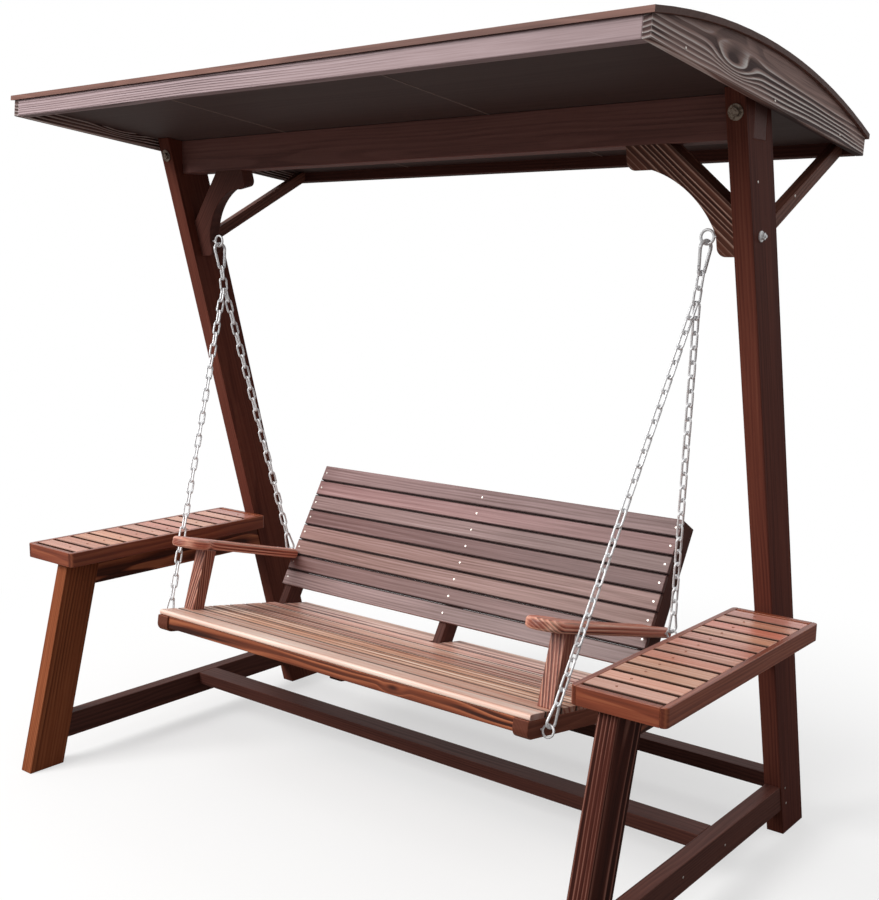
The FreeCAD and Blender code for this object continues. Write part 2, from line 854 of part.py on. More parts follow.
def build_stiles():
    outer = side_board("right_back_stile", stile_outline(), stile_inner_x, size.stile_width, bench, size.slat_round)
    both_sides("back_stile", outer)
    node("middle_back_stile", side_board(
        "middle_back_stile", stile_outline(), -size.stile_width / 2, size.stile_width, bench, size.slat_round))


# Armrests, in a frame that slopes a little more than the seat, with its origin under the arm's front

arm_outer_x = size.seat_half_width + size.arm_outset
arm_origin = bench.shifted(up=size.arm_height)
arm = Place(back=arm_origin.back, up=arm_origin.up, tip=size.seat_tilt + size.arm_slope)
arm_fall = tangent(size.arm_slope)


def back_face_along_arm(behind, lift):
    """Distance along the arm to a face of the back, a depth behind the slats' front, at a lift off the arm."""
    start = size.back_start + behind / rake_cosine + size.arm_height * rake_slope
    seat_lift = lift / cosine(size.arm_slope)
    return (start + seat_lift * rake_slope) / (cosine(size.arm_slope) + sine(size.arm_slope) * rake_slope)


def build_armrest():
    """The plan of an armrest: a round nose, a waisted neck and a tail notched around slats and stile."""
    radius = size.arm_nose_radius
    nose_along = size.arm_nose_start + radius
    nose_inner_x = arm_outer_x - radius * 2
    neck_x = arm_outer_x - size.arm_width
    neck_end = nose_along + size.arm_neck_length
    neck_step = (neck_x - nose_inner_x) / 2
    neck_half = size.arm_neck_length / 2
    neck_radius = (neck_step * neck_step + neck_half * neck_half) / (neck_step * 2)
    notch_along = back_face_along_arm(as_size(0), as_size(0)) - size.arm_notch_clearance
    tail_along = back_face_along_arm(stile_rear, as_size(0))
    rest = board("right_armrest", "XY_Plane", [
        Corner(arm_outer_x, nose_along),
        Corner(arm_outer_x, tail_along),
        Corner(size.seat_half_width, tail_along),
        Corner(size.seat_half_width, notch_along),
        Corner(neck_x, notch_along),
        Corner(neck_x, neck_end, neck_radius, True),
        Corner(neck_x - neck_step, nose_along + neck_half, neck_radius),
        Corner(nose_inner_x, nose_along, radius),
        Corner(nose_inner_x + radius, size.arm_nose_start, radius),
    ], size.arm_thickness, arm, size.arm_thickness / 3, rims_only=True)
    both_sides("armrest", rest)

    lean = tangent(size.arm_post_lean)

    def head(along):
        """Where the post's face that starts at a distance along the seat meets the arm's underside."""
        lift = (size.arm_height - along * arm_fall) / (1 + lean * arm_fall)
        return Corner(along + lift * lean, lift)

    post_rear = size.arm_post_start + size.arm_post_depth
    post = side_board("right_arm_post", [
        Corner(size.arm_post_start, 0),
        Corner(post_rear, 0),
        head(post_rear),
        head(size.arm_post_start),
    ], seat_rail_inner_x, size.seat_rail_thickness, bench)
    both_sides("arm_post", post)


# Hanging hardware: eyes, snap hooks with gates, chains


def cylinder(label, diameter, length, across, back, up, axis, angle):
    """A round bar that starts at a level position and runs along +Z turned about an axis."""
    bar = doc.addObject("Part::Cylinder", label)
    bar.setExpression("Radius", (diameter / 2).text)
    bar.setExpression("Height", length.text)
    bar.Placement = FreeCAD.Placement(Vector(), FreeCAD.Rotation(axis, angle))
    for letter, amount in (("x", across), ("y", back), ("z", up)):
        bar.setExpression(f"Placement.Base.{letter}", as_size(amount).text)
    return bar


def ring(label, radius, wire):
    """A wire ring in the XZ plane about the origin."""
    item = doc.addObject("Part::Torus", label)
    item.setExpression("Radius1", radius.text)
    item.setExpression("Radius2", (wire / 2).text)
    upright = FreeCAD.Rotation(Vector(1, 0, 0), 90)
    seam_up = FreeCAD.Rotation(Vector(0, 0, 1), 90)
    item.Placement = FreeCAD.Placement(Vector(), upright.multiply(seam_up))
    return item


def joined(label, pieces):
    """Pieces welded into one solid."""
    item = doc.addObject("Part::MultiFuse", label)
    item.Shapes = pieces
    item.Refine = True
    return item


TO_RIGHT = (Vector(0, 1, 0), 90)
TO_LEFT = (Vector(0, 1, 0), -90)


def build_hanger_eyes():
    """Eye bolts that pass out through brace and post, each with a washer and a nut on the post's outer face."""
    seat_x = upright_outer_x - size.hanger_x
    shank_start = size.hanger_ring_radius
    nut_x = seat_x + size.hanger_washer_thickness
    shank_length = nut_x + size.hanger_nut_height + size.hanger_thread_tail - shank_start
    bolt = joined("hanger_bolt", [
        ring("hanger_ring", size.hanger_ring_radius, size.hanger_wire),
        cylinder("hanger_shank", size.hanger_wire, shank_length, shank_start, 0, 0, *TO_RIGHT),
        cylinder("hanger_washer", size.hanger_washer_width, size.hanger_washer_thickness, seat_x, 0, 0, *TO_RIGHT),
        hexagon("hanger_nut", size.hanger_nut_width, size.hanger_nut_height, nut_x),
    ])
    Place(size.hanger_x, hanger_y, size.hanger_z).apply(bolt)
    both_sides("hanger_eye", bolt)


def hexagon(label, width, height, start_x):
    """A hexagonal nut along +X."""
    nut = doc.addObject("Part::Prism", label)
    nut.Polygon = 6
    half_corner_angle = as_size(30)
    nut.setExpression("Circumradius", (width / cosine(half_corner_angle) / 2).text)
    nut.setExpression("Height", height.text)
    nut.Placement = FreeCAD.Placement(Vector(), FreeCAD.Rotation(*TO_RIGHT))
    nut.setExpression("Placement.Base.x", start_x.text)
    return nut


def bar_arc(radius, wire, centre, start_angle, sweep):
    """A bent round bar in the XY plane: part of a ring about a centre, in degrees anticlockwise."""
    piece = Part.makeTorus(radius, wire / 2, Vector(), Vector(0, 0, 1), 0, 360, sweep)
    piece.rotate(Vector(), Vector(0, 0, 1), start_angle)
    piece.translate(centre)
    return piece


def bar_line(start, end, diameter):
    """A straight round bar."""
    return Part.makeCylinder(diameter / 2, (end - start).Length, start, end - start)


class SnapHook:
    """A pear-shaped snap hook in the XY plane: the wide bow's centre at the origin, the narrow end along +X."""

    def __init__(self, name, eye_wire):
        wire = getattr(size, f"{name}_hook_wire")
        wide_bore = getattr(size, f"{name}_hook_wide_bore")
        narrow_bore = getattr(size, f"{name}_hook_narrow_bore")
        wide = wide_bore + wire / 2
        narrow = narrow_bore + wire / 2
        reach = getattr(size, f"{name}_hook_length") - wire - wide - narrow
        # From the eye's wire to the wide bow's centre, and from there to the wire of the link it holds
        self.seat = wide_bore - eye_wire / 2 - size.running_gap
        self.catch = reach + narrow_bore - size.link_wire / 2 - size.running_gap

        self.wire = wire.value
        self.wide = wide.value
        self.narrow = narrow.value
        self.flare = math.degrees(math.asin((self.wide - self.narrow) / reach.value))
        side = Vector(math.sin(math.radians(self.flare)), math.cos(math.radians(self.flare)), 0)
        gate_side = Vector(side.x, -side.y, 0)
        self.narrow_centre = Vector(reach.value, 0, 0)
        self.spine = (self.narrow_centre + side * self.narrow, side * self.wide)
        self.gate_line = (self.narrow_centre + gate_side * self.narrow, gate_side * self.wide)
        gate_axis = (self.gate_line[1] - self.gate_line[0]).normalize()
        self.gate_turn = math.degrees(math.atan2(gate_axis.y, gate_axis.x))
        self.gate_radius = (wire * size.gate_diameter_part / 2).value
        self.rivet_radius = (wire * size.gate_rivet_part / 2).value
        self.tongue_thickness = (wire * size.gate_tongue_part).value
        self.tongue_root = (wire * size.gate_tongue_root_part).value
        self.slot_reach = (wire * size.gate_slot_part).value
        self.pivot_setback = (wire * size.gate_pivot_part).value
        self.pivot = self.gate_line[0] + gate_axis * self.pivot_setback

    def along_gate(self, shape, place):
        """Turns a shape made along +X into the gate's direction and moves it to a place."""
        shape.rotate(Vector(), Vector(0, 0, 1), self.gate_turn)
        shape.translate(place)
        return shape

    def body(self):
        """The bent bar with the tongue and rivet that carry the gate."""
        half_width = self.gate_radius - size.running_gap.value
        tongue_length = self.tongue_root + self.pivot_setback + half_width
        tongue_corner = Vector(-self.tongue_root, -half_width, -self.tongue_thickness / 2)
        tongue = Part.makeBox(tongue_length, half_width * 2, self.tongue_thickness, tongue_corner)
        rivet_end = Vector(self.pivot_setback, 0, -self.gate_radius)
        rivet = Part.makeCylinder(self.rivet_radius, self.gate_radius * 2, rivet_end)
        pieces = [
            bar_arc(self.narrow, self.wire, self.narrow_centre, self.flare - 90, 180 - 2 * self.flare),
            bar_line(self.spine[0], self.spine[1], self.wire),
            bar_arc(self.wide, self.wire, Vector(), 90 - self.flare, 180 + 2 * self.flare),
            self.along_gate(tongue.fuse(rivet), self.gate_line[0]),
        ]
        return pieces[0].multiFuse(pieces[1:]).removeSplitter()

    def gate(self):
        """The gate: a round bar slotted over the tongue, with its end rounded about the rivet."""
        gap = size.running_gap.value
        radius = self.gate_radius
        length = (self.gate_line[1] - self.pivot).Length - gap
        slot_thickness = self.tongue_thickness + 2 * gap
        bar = Part.makeCylinder(radius, length, Vector(), Vector(1, 0, 0))
        bar = bar.fuse(Part.makeSphere(radius)).removeSplitter()
        slot = Part.makeBox(
            radius * 2 + self.slot_reach, radius * 4, slot_thickness,
            Vector(-radius * 2, -radius * 2, -slot_thickness / 2))
        hole_radius = self.rivet_radius + size.rivet_clearance.value
        hole = Part.makeCylinder(hole_radius, radius * 4, Vector(0, 0, -radius * 2))
        return self.along_gate(bar.cut([slot, hole]), self.pivot)


upper_hook = SnapHook("upper", size.hanger_wire)
lower_hook = SnapHook("lower", size.seat_eye_wire)

# Where the chains run: each seat eye's ring, the swing's axis through the hanger ring, and the joint below it

seat_ring_offset = size.seat_ring_radius + size.seat_eye_wire / 2 + size.seat_eye_neck
arm_middle = size.arm_thickness / 2
front_eye_up = -(size.seat_slat_thickness + size.front_eye_drop)
rear_eye_along = back_face_along_arm(stile_rear, arm_middle) - size.rear_eye_inset
front_eye = bench.shifted(size.seat_half_width + seat_ring_offset, size.front_eye_setback, front_eye_up)
rear_eye = arm.shifted(arm_outer_x + seat_ring_offset, rear_eye_along, arm_middle)

pull_x = size.hanger_x - (front_eye.across + rear_eye.across) / 2
pull_z = size.hanger_z - (front_eye.up + rear_eye.up) / 2
pull_lean = arctangent(pull_x / pull_z)
swing_axis_z = size.hanger_z - size.hanger_ring_radius * cosine(pull_lean)

# The last link of the short top chain is wider: both long chains hang in it side by side.
link_overlap = size.link_wire + size.running_gap
joint_bow = (size.joint_link_width - size.link_wire) / 2
joint_room = joint_bow - link_overlap
joint_step = link_overlap / 2
joint_lift = joint_bow - root(joint_room * joint_room - joint_step * joint_step)
top_chain_run = size.link_pitch * size.top_link_count + link_overlap
joint_drop = upper_hook.seat + upper_hook.catch + top_chain_run - joint_lift


class ChainLine:
    """One long chain, from the joint down to a seat eye; side is -1 for the front chain and 1 for the rear one."""

    def __init__(self, name, eye, side):
        self.name = name
        self.eye = eye
        self.side = side
        joint_y = hanger_y + joint_step * side
        joint_z = swing_axis_z - joint_drop * cosine(pull_lean)
        self.lean = arctangent((joint_y - eye.back) / (joint_z - eye.up))


LINES = [ChainLine("front", front_eye, -1), ChainLine("rear", rear_eye, 1)]


def build_seat_eyes():
    """Screw eyes in the rails and armrests, each turned so that its ring lies along its chain."""
    eyes = []
    for line in LINES:
        shank_length = size.seat_eye_length + size.seat_eye_wire / 2 + size.seat_eye_neck
        eye = joined(f"{line.name}_seat_eye", [
            ring(f"{line.name}_seat_ring", size.seat_ring_radius, size.seat_eye_wire),
            cylinder(f"{line.name}_seat_shank", size.seat_eye_wire, shank_length,
                     -size.seat_ring_radius, 0, 0, *TO_LEFT),
        ])
        Place(line.eye.across, line.eye.back, line.eye.up, line.lean).apply(eye)
        eyes.append(eye)
    pair = doc.addObject("Part::Compound", "right_seat_eyes")
    pair.Links = eyes
    twin = doc.addObject("Part::Mirroring", "left_seat_eyes")
    twin.Source = pair
    twin.Normal = Vector(1, 0, 0)
    group("seat_eyes", [pair, twin])


def chain_link(bow_distance, width):
    """A welded chain link in the XY plane, its bows along X; bow_distance is between its end wires' middles."""
    wire = size.link_wire.value
    bow = (width.value - wire) / 2
    leg = bow_distance / 2 - bow
    pieces = [
        bar_arc(bow, wire, Vector(leg, 0, 0), -90, 180),
        bar_arc(bow, wire, Vector(-leg, 0, 0), 90, 180),
        bar_line(Vector(-leg, bow, 0), Vector(leg, bow, 0), wire),
        bar_line(Vector(-leg, -bow, 0), Vector(leg, -bow, 0), wire),
    ]
    return pieces[0].multiFuse(pieces[1:]).removeSplitter()


def placed(shape, origin, along, across):
    """A copy of a shape with its X axis turned along one direction and its Y axis across it."""
    copy = shape.copy()
    turn = FreeCAD.Rotation(along, across, along.cross(across), "ZXY")
    copy.Placement = FreeCAD.Placement(origin, turn).multiply(copy.Placement)
    return copy


def flat_normal(direction):
    """The normal of a hook's plane on a chain with this direction: near X, turned by the chain's twist."""
    twist = math.radians(size.chain_twist.value)
    across = Vector(math.cos(twist), -math.sin(twist), 0)
    return (across - direction * across.dot(direction)).normalize()


def run_of_links(start, direction, count, bow_distance, normal, end_width):
    """Links along a line, turned by right angles in turn, the first across the hook's plane."""
    overlap = link_overlap.value
    links = []
    for number in range(count):
        width = end_width if number == count - 1 else size.link_width
        middle = start + direction * (bow_distance / 2 + number * (bow_distance - overlap))
        across = normal if number % 2 == 0 else normal.cross(direction)
        links.append(placed(chain_link(bow_distance, width), middle, direction, across))
    return Part.makeCompound(links)


def hang_hook(name, hook, contact, toward):
    """A hook on an eye's wire, pointing along a chain, with its gate; returns it and where its link hangs."""
    normal = flat_normal(toward)
    centre = contact + toward * hook.seat.value
    across = normal.cross(toward)
    solid(f"{name}_gate", placed(hook.gate(), centre, toward, across))
    pivot = centre + toward * hook.pivot.x + across * hook.pivot.y
    print("gate", name, *(f"{value:.4f}" for value in (*pivot, *(normal * -1))))
    return placed(hook.body(), centre, toward, across), centre + toward * hook.catch.value


def build_chains():
    """On each side: a hook on the hanger ring, a short chain, and two long chains with hooks on the seat eyes."""
    overlap = link_overlap.value
    lean = math.radians(pull_lean.value)
    hooks = []
    for name, hand in (("left", -1), ("right", 1)):
        ring_centre = Vector(hand * size.hanger_x.value, hanger_y.value, size.hanger_z.value)
        down = Vector(-hand * math.sin(lean), 0, -math.cos(lean))
        contact = ring_centre + down * size.hanger_ring_radius.value
        hook, catch = hang_hook(f"{name}_top", upper_hook, contact, down)
        hooks.append(hook)
        normal = flat_normal(down)
        bow_distance = size.link_pitch.value + overlap
        top_chain = run_of_links(
            catch, down, SIZES["top_link_count"], bow_distance, normal, size.joint_link_width)
        solid(f"{name}_top_chain", top_chain)
        joint = contact + down * joint_drop.value
        for line in LINES:
            eye_centre = Vector(hand * line.eye.across.value, line.eye.back.value, line.eye.up.value)
            end = joint + normal.cross(down) * (joint_step.value * line.side)
            up = (end - eye_centre).normalize()
            contact_low = eye_centre + up * size.seat_ring_radius.value
            hook, start = hang_hook(f"{name}_{line.name}", lower_hook, contact_low, up)
            hooks.append(hook)
            run = (end - start).Length
            steps = (run - overlap) / size.link_pitch.value
            count = 2 * round((steps - 1) / 2) + 1
            bow_distance = (run + (count - 1) * overlap) / count
            chain = run_of_links(start, up, count, bow_distance, flat_normal(up), size.link_width)
            solid(f"{name}_{line.name}_chain", chain)
            print(f"chain {name} {line.name}: {count} links, pitch {bow_distance - overlap:.2f} mm")
    solid("snap_hooks", Part.makeCompound(hooks))
    print(f"swing axis {hanger_y.value:.4f} {swing_axis_z.value:.4f}")


# Beam bolts and nails


def build_beam_bolts():
    """Coach screws square to the front of each post, into the beam, with a broad washer under the head."""
    front_y = post_front_y(size.beam_bolt_z)
    middle_x = size.upright_inner_x + size.upright_thickness / 2
    inward = (Vector(1, 0, 0), -90)
    washer = size.beam_washer_thickness
    bolt = joined("beam_bolt", [
        cylinder("bolt_shank", size.beam_bolt_diameter, size.beam_bolt_length, 0, 0, 0, *inward),
        cylinder("bolt_washer", size.beam_washer_width, washer, 0, -washer, 0, *inward),
        cylinder("bolt_head", size.beam_bolt_head_width, size.beam_bolt_head_height, 0,
                 -(washer + size.beam_bolt_head_height), 0, *inward),
    ])
    Place(middle_x, front_y, size.beam_bolt_z, -size.post_lean).apply(bolt)
    twin = doc.addObject("Part::Mirroring", "left_beam_bolt")
    twin.Source = bolt
    twin.Normal = Vector(1, 0, 0)
    group("beam_bolts", [bolt, twin])


def nail(place, inward):
    """A nail at a surface point, driven along a direction, with its head lying on the surface."""
    head = Part.makeCylinder(
        size.nail_head_diameter.value / 2, size.nail_head_height.value, place, inward * -1)
    shank = Part.makeCylinder(size.nail_diameter.value / 2, size.nail_length.value, place, inward)
    return head.fuse(shank).removeSplitter()


def build_nails():
    """One nail through each back slat at each stile, and one through each table slat at the bearer."""
    stile_middle = stile_inner_x + size.stile_width / 2
    back_step = size.back_slat_width + size.back_slat_gap
    inward = (back.world(0, 1, 0) - back.world(0, 0, 0)).normalize()
    bench_nails = []
    for across in (-stile_middle, as_size(0), stile_middle):
        for number in range(SIZES["back_slat_count"]):
            up = size.back_slat_lift + size.back_slat_width / 2 + back_step * number
            bench_nails.append(nail(back.world(across, 0, up), inward))
    solid("bench_nails", Part.makeCompound(bench_nails))

    bearer_x = rail_inner_x + size.rail_thickness / 2
    table_nails = []
    for across in (-bearer_x, bearer_x):
        for number in range(SIZES["table_slat_count"]):
            middle = table_slat_front_y(number) + table_slat_width / 2
            place = Vector(across.value, middle.value, size.table_top_z.value)
            table_nails.append(nail(place, Vector(0, 0, -1)))
    solid("table_nails", Part.makeCompound(table_nails))


def check_and_export():
    """Stops on any failed object, then writes each sub-part."""
    doc.recompute()
    failed = [item.Label for item in doc.Objects if "Invalid" in item.State or "Error" in item.State]
    if failed:
        raise RuntimeError(f"failed objects: {failed}")
    for label, item in nodes.items():
        if item.Shape.isNull() or not item.Shape.isValid() or not item.Shape.Solids:
            raise RuntimeError(f"bad shape: {label}")
    os.makedirs("parts", exist_ok=True)
    for label, item in nodes.items():
        item.Shape.exportStep(f"parts/{label}.step")
    print(f"{len(nodes)} sub-parts written")


build_uprights()
build_rails()
build_tables()
build_beam()
build_knee_brace()
build_canopy()
build_roof_strut()
build_seat_frame()
build_slats()
build_stiles()
build_armrest()
build_hanger_eyes()
build_seat_eyes()
build_chains()
build_beam_bolts()
build_nails()
check_and_export()
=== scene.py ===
import logging
import math
from dataclasses import dataclass
from enum import Enum
from typing import Any, Callable, Optional

import bpy
from mathutils import Euler, Matrix, Vector


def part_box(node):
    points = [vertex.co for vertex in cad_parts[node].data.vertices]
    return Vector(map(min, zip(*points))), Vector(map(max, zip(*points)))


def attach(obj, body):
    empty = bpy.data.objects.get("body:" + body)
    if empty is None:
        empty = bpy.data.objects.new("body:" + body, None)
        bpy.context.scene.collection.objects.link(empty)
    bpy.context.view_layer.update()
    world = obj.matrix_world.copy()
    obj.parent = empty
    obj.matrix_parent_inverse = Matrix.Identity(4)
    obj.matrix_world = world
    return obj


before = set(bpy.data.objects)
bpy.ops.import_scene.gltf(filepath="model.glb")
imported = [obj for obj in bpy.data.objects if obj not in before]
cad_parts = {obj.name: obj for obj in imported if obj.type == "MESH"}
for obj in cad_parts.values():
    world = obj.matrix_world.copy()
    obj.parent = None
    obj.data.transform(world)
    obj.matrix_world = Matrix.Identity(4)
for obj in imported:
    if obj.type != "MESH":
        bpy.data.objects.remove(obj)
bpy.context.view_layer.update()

log = logging.getLogger("canopy_swing")
MM = 0.001
SMOOTH_ANGLE = math.radians(40)
Place = tuple[float, float, float]
Socket = bpy.types.NodeSocket


class Axis(Enum):
    """The axis along which a board's grain runs, or slats are laid side by side."""

    X = 0
    Y = 1
    Z = 2

    def unit(self) -> Vector:
        """The axis as a unit vector."""
        return Vector([1.0 if number == self.value else 0.0 for number in range(3)])

    def across(self) -> Vector:
        """One for the two axes across this one, zero for itself."""
        return Vector((1.0, 1.0, 1.0)) - self.unit()


class Slot(Enum):
    """Names of material slots; no piece in this script uses them."""

    TIMBER = "timber"
    ZINC = "zinc"


# Nodes and colours


def linear(hex_colour: str) -> tuple[float, float, float, float]:
    """Turns an sRGB hex colour into linear light.

    Args:
        hex_colour: Six hex digits after a hash.

    Returns:
        Red, green, blue and an alpha of one.
    """
    parts = [int(hex_colour[start:start + 2], 16) / 255 for start in (1, 3, 5)]
    light = [part / 12.92 if part <= 0.04045 else ((part + 0.055) / 1.055) ** 2.4 for part in parts]
    return (light[0], light[1], light[2], 1.0)


def add_node(tree: bpy.types.NodeTree, kind: str, inputs: Optional[dict[Any, Any]] = None,
             **settings: Any) -> bpy.types.Node:
    """Adds a node with its settings, its constants and its links.

    Args:
        tree: The node tree that gets the node.
        kind: The node's type without the leading ShaderNode.
        inputs: Socket names or numbers with a constant or the output socket to link.
        **settings: Properties of the node itself.

    Returns:
        The new node.
    """
    node = tree.nodes.new(f"ShaderNode{kind}")
    for name, value in settings.items():
        setattr(node, name, value)
    for key, value in (inputs or {}).items():
        if isinstance(value, Socket):
            tree.links.new(value, node.inputs[key])
        else:
            node.inputs[key].default_value = value
    return node


def new_material(name: str) -> tuple[bpy.types.Material, bpy.types.NodeTree]:
    """Makes an empty node material.

    Args:
        name: The material's name.

    Returns:
        The material and its cleared node tree.
    """
    material = bpy.data.materials.new(name)
    material.use_nodes = True
    material.node_tree.nodes.clear()
    return material, material.node_tree


def colour_stops(ramp: bpy.types.Node, stops: list[tuple[float, str]]) -> None:
    """Sets the stops of a colour ramp.

    Args:
        ramp: The ramp node.
        stops: Positions from 0 to 1 with hex colours, in order.
    """
    elements = ramp.color_ramp.elements
    while len(elements) < len(stops):
        elements.new(0.5)
    for element, (position, colour) in zip(elements, stops):
        element.position = position
        element.color = linear(colour)


# Finishes


@dataclass(frozen=True)
class Timber:
    """Carbonised, brushed softwood: soft rings brushed out dark, hard rings left as pale ridges."""

    name: str
    groove: str
    body: str
    ridge: str
    ring_mm: float = 8.0
    groove_share: float = 0.45
    contrast: float = 0.4
    streak: float = 0.35
    streak_mm: float = 7.0
    relief_mm: float = 0.4
    wander_mm: float = 9.0
    char: float = 0.35
    # How much painted highlight the eased edges get.
    edge_highlight: float = 0.3
    tint_spread: float = 0.12
    roughness: float = 0.5
    specular: float = 0.2
    varnish: float = 0.0


@dataclass(frozen=True)
class Row:
    """Slats side by side in one node. The datum lies half a gap before the first slat."""

    datum: Vector
    count: int
    pitch: float
    gap: float
    axis: Axis
    # How far the painted shade reaches in from each gap.
    gap_shade_mm: float = 2.2
    framed: bool = False


@dataclass(frozen=True)
class Knot:
    """A knot in a board: where it is from the board's middle, and how far it turns the grain."""

    place_mm: Place
    size_mm: float


@dataclass(frozen=True)
class Fade:
    """Where brushed lines are strong, where they run out along one axis, and how much paler it is there,
    darker below zero; some boards use this for painted sheen and painted shade.
    """

    axis: Axis
    strong_mm: float
    plain_mm: float
    lift: float = 0.0


@dataclass(frozen=True)
class Lie:
    """How a board lies: its grain's axis after a turn, and where the log's middle is beside it."""

    axis: Axis
    turn: Place = (0.0, 0.0, 0.0)
    pith_mm: Place = (0.0, 60.0, 45.0)
    row: Optional[Row] = None
    knot: Optional[Knot] = None
    fade: Optional[Fade] = None

    def euler(self) -> Euler:
        """The turn in radians."""
        return Euler([math.radians(angle) for angle in self.turn], "XYZ")


# Softwood burnt and stained nearly black: dark red brown, satin, its lines only just seen.
FRAME_WOOD = Timber("carbonised_frame_timber", "#2c1714", "#55322b", "#6f4336", contrast=0.3, specular=0.1)
# The same stain on a sawn beam: a plain, even brown with long soft streaks.
BEAM_WOOD = Timber(
    "carbonised_beam_timber", "#4a2f2b", "#855a53", "#946a61", contrast=0.3, streak=0.3, specular=0.12)
# Stain thin enough for the red of the wood to come through, with fine upright streaks.
POST_WOOD = Timber(
    "carbonised_post_timber", "#381d1c", "#6d3b2f", "#82503f", contrast=0.25, streak=0.5, specular=0.05)
# Thin stain in full light: warm orange with dark brushed lines.
LEFT_LEG_WOOD = Timber(
    "orange_leg_timber", "#3d1a10", "#884a2e", "#b5724c", wander_mm=5.0, specular=0.06)
# Quarter-sawn and deeply brushed: pale ridges on near black, as straight as ruled lines.
RIGHT_LEG_WOOD = Timber(
    "carbonised_leg_timber", "#24120f", "#4f271f", "#b27c6c", ring_mm=9.0, groove_share=0.62, contrast=0.8,
    wander_mm=3.0, specular=0.04)
# Varnished table slats: warm tan with a soft gloss, each slat of another tint.
TABLE_WOOD = Timber(
    "varnished_table_timber", "#5e2d1e", "#d0866a", "#f4c6b0", relief_mm=0.2, contrast=0.3, streak=0.6,
    roughness=0.32, specular=0.3, varnish=0.2, tint_spread=0.1)
# The tables' rails under the same varnish: redder and darker than the slats.
TABLE_RAIL_WOOD = Timber(
    "varnished_rail_timber", "#481c10", "#88432c", "#b46d4a", relief_mm=0.2, contrast=0.3, streak=0.45,
    roughness=0.36, specular=0.25, varnish=0.2)
# The roof's front: a mauve grey, partly the pale brushed wood and partly a painted sheen, with fine dark
# lines.
FASCIA_WOOD = Timber(
    "brushed_fascia_timber", "#4f3c3d", "#a28b8c", "#c6b0b4", ring_mm=6.5, groove_share=0.28, contrast=0.95,
    wander_mm=4.0, char=0.2)
# Deep brushing round a knot: dark grooves, and ridges painted near white, partly their pale wood and partly
# painted highlight where the brushed relief catches the light.
GABLE_WOOD = Timber(
    "brushed_gable_timber", "#3c2522", "#b08e85", "#fff8f4", ring_mm=9.5, groove_share=0.52, contrast=1.9,
    wander_mm=7.0, relief_mm=0.8, char=0.45)
# Rubbed by use: stain left in the grooves, bare pinkish wood on the ridges.
# Rings of about 8 mm don't show at the seat's slant, so they are drawn 23 mm wide.
SEAT_WOOD = Timber(
    "brushed_seat_timber", "#7a3221", "#eab097", "#ffe8d8", ring_mm=23.0, contrast=1.0,
    streak=0.95, streak_mm=20.0, wander_mm=5.0, char=0.3, roughness=0.36, specular=0.4)
# Varnished back slats: mauve brown with thin streaks, each slat of another tint.
BACK_WOOD = Timber(
    "varnished_back_timber", "#573129", "#94706c", "#ba9a99", relief_mm=0.2, contrast=0.3,
    streak=0.65, char=0.4, wander_mm=6.0, roughness=0.36, specular=0.28, varnish=0.08, tint_spread=0.28)
# Plain stained rails beside the seat: an even mid brown.
SEAT_RAIL_WOOD = Timber(
    "stained_seat_rail_timber", "#5c3124", "#7a4433", "#9c6049", specular=0.15)
# Thick figure under stain: orange brown with broad dark bands.
APRON_WOOD = Timber(
    "brushed_apron_timber", "#331309", "#7c3f28", "#b9704c", ring_mm=11.0, groove_share=0.5, contrast=0.95,
    wander_mm=14.0)
# Quarter-sawn and brushed arm posts: narrow pale ridges on red brown.
ARM_WOOD = Timber(
    "brushed_arm_timber", "#4a1d13", "#9c5845", "#dfae97", groove_share=0.5, contrast=0.95,
    wander_mm=3.0, char=0.2, roughness=0.36, specular=0.4)
# Armrests: redder than their posts, and painted paler, a painted light that stands in for the highlights on
# their sides.
ARMREST_WOOD = Timber(
    "brushed_armrest_timber", "#62281a", "#da7f66", "#ffd2b8", groove_share=0.5, contrast=0.95,
    wander_mm=3.0, char=0.2, roughness=0.36, specular=0.4)
# A deeply brushed brace: wide pale ridges on dark brown.
BRACE_WOOD = Timber(
    "brushed_brace_timber", "#331912", "#744535", "#e4bfac", ring_mm=13.0, groove_share=0.62, contrast=1.0,
    wander_mm=4.0, relief_mm=0.9, char=0.3)
# Smooth stained board overhead: flat, dark grey brown, with hardly any figure.
CEILING_WOOD = Timber(
    "stained_ceiling_board", "#403431", "#51413e", "#5e4d4a", ring_mm=24.0, contrast=0.12, streak=0.15,
    relief_mm=0.08, wander_mm=20.0, char=0.25, edge_highlight=0.0)
# Struts behind the posts: dark brown with a little red.
STRUT_WOOD = Timber("carbonised_strut_timber", "#36201b", "#744a3d", "#936050", specular=0.1)
# Stained roof board: mid brown and dull, with wide soft bands.
ROOF_WOOD = Timber(
    "stained_roof_board", "#3a221d", "#7c554a", "#94695c", ring_mm=16.0, contrast=0.25, relief_mm=0.15,
    wander_mm=20.0, char=0.4)
# Planed seam beads: plain, pale grey brown.
BEAD_WOOD = Timber("planed_bead_timber", "#5a4d49", "#8c7c76", "#a79690", contrast=0.1, streak=0.2, edge_highlight=0.0)


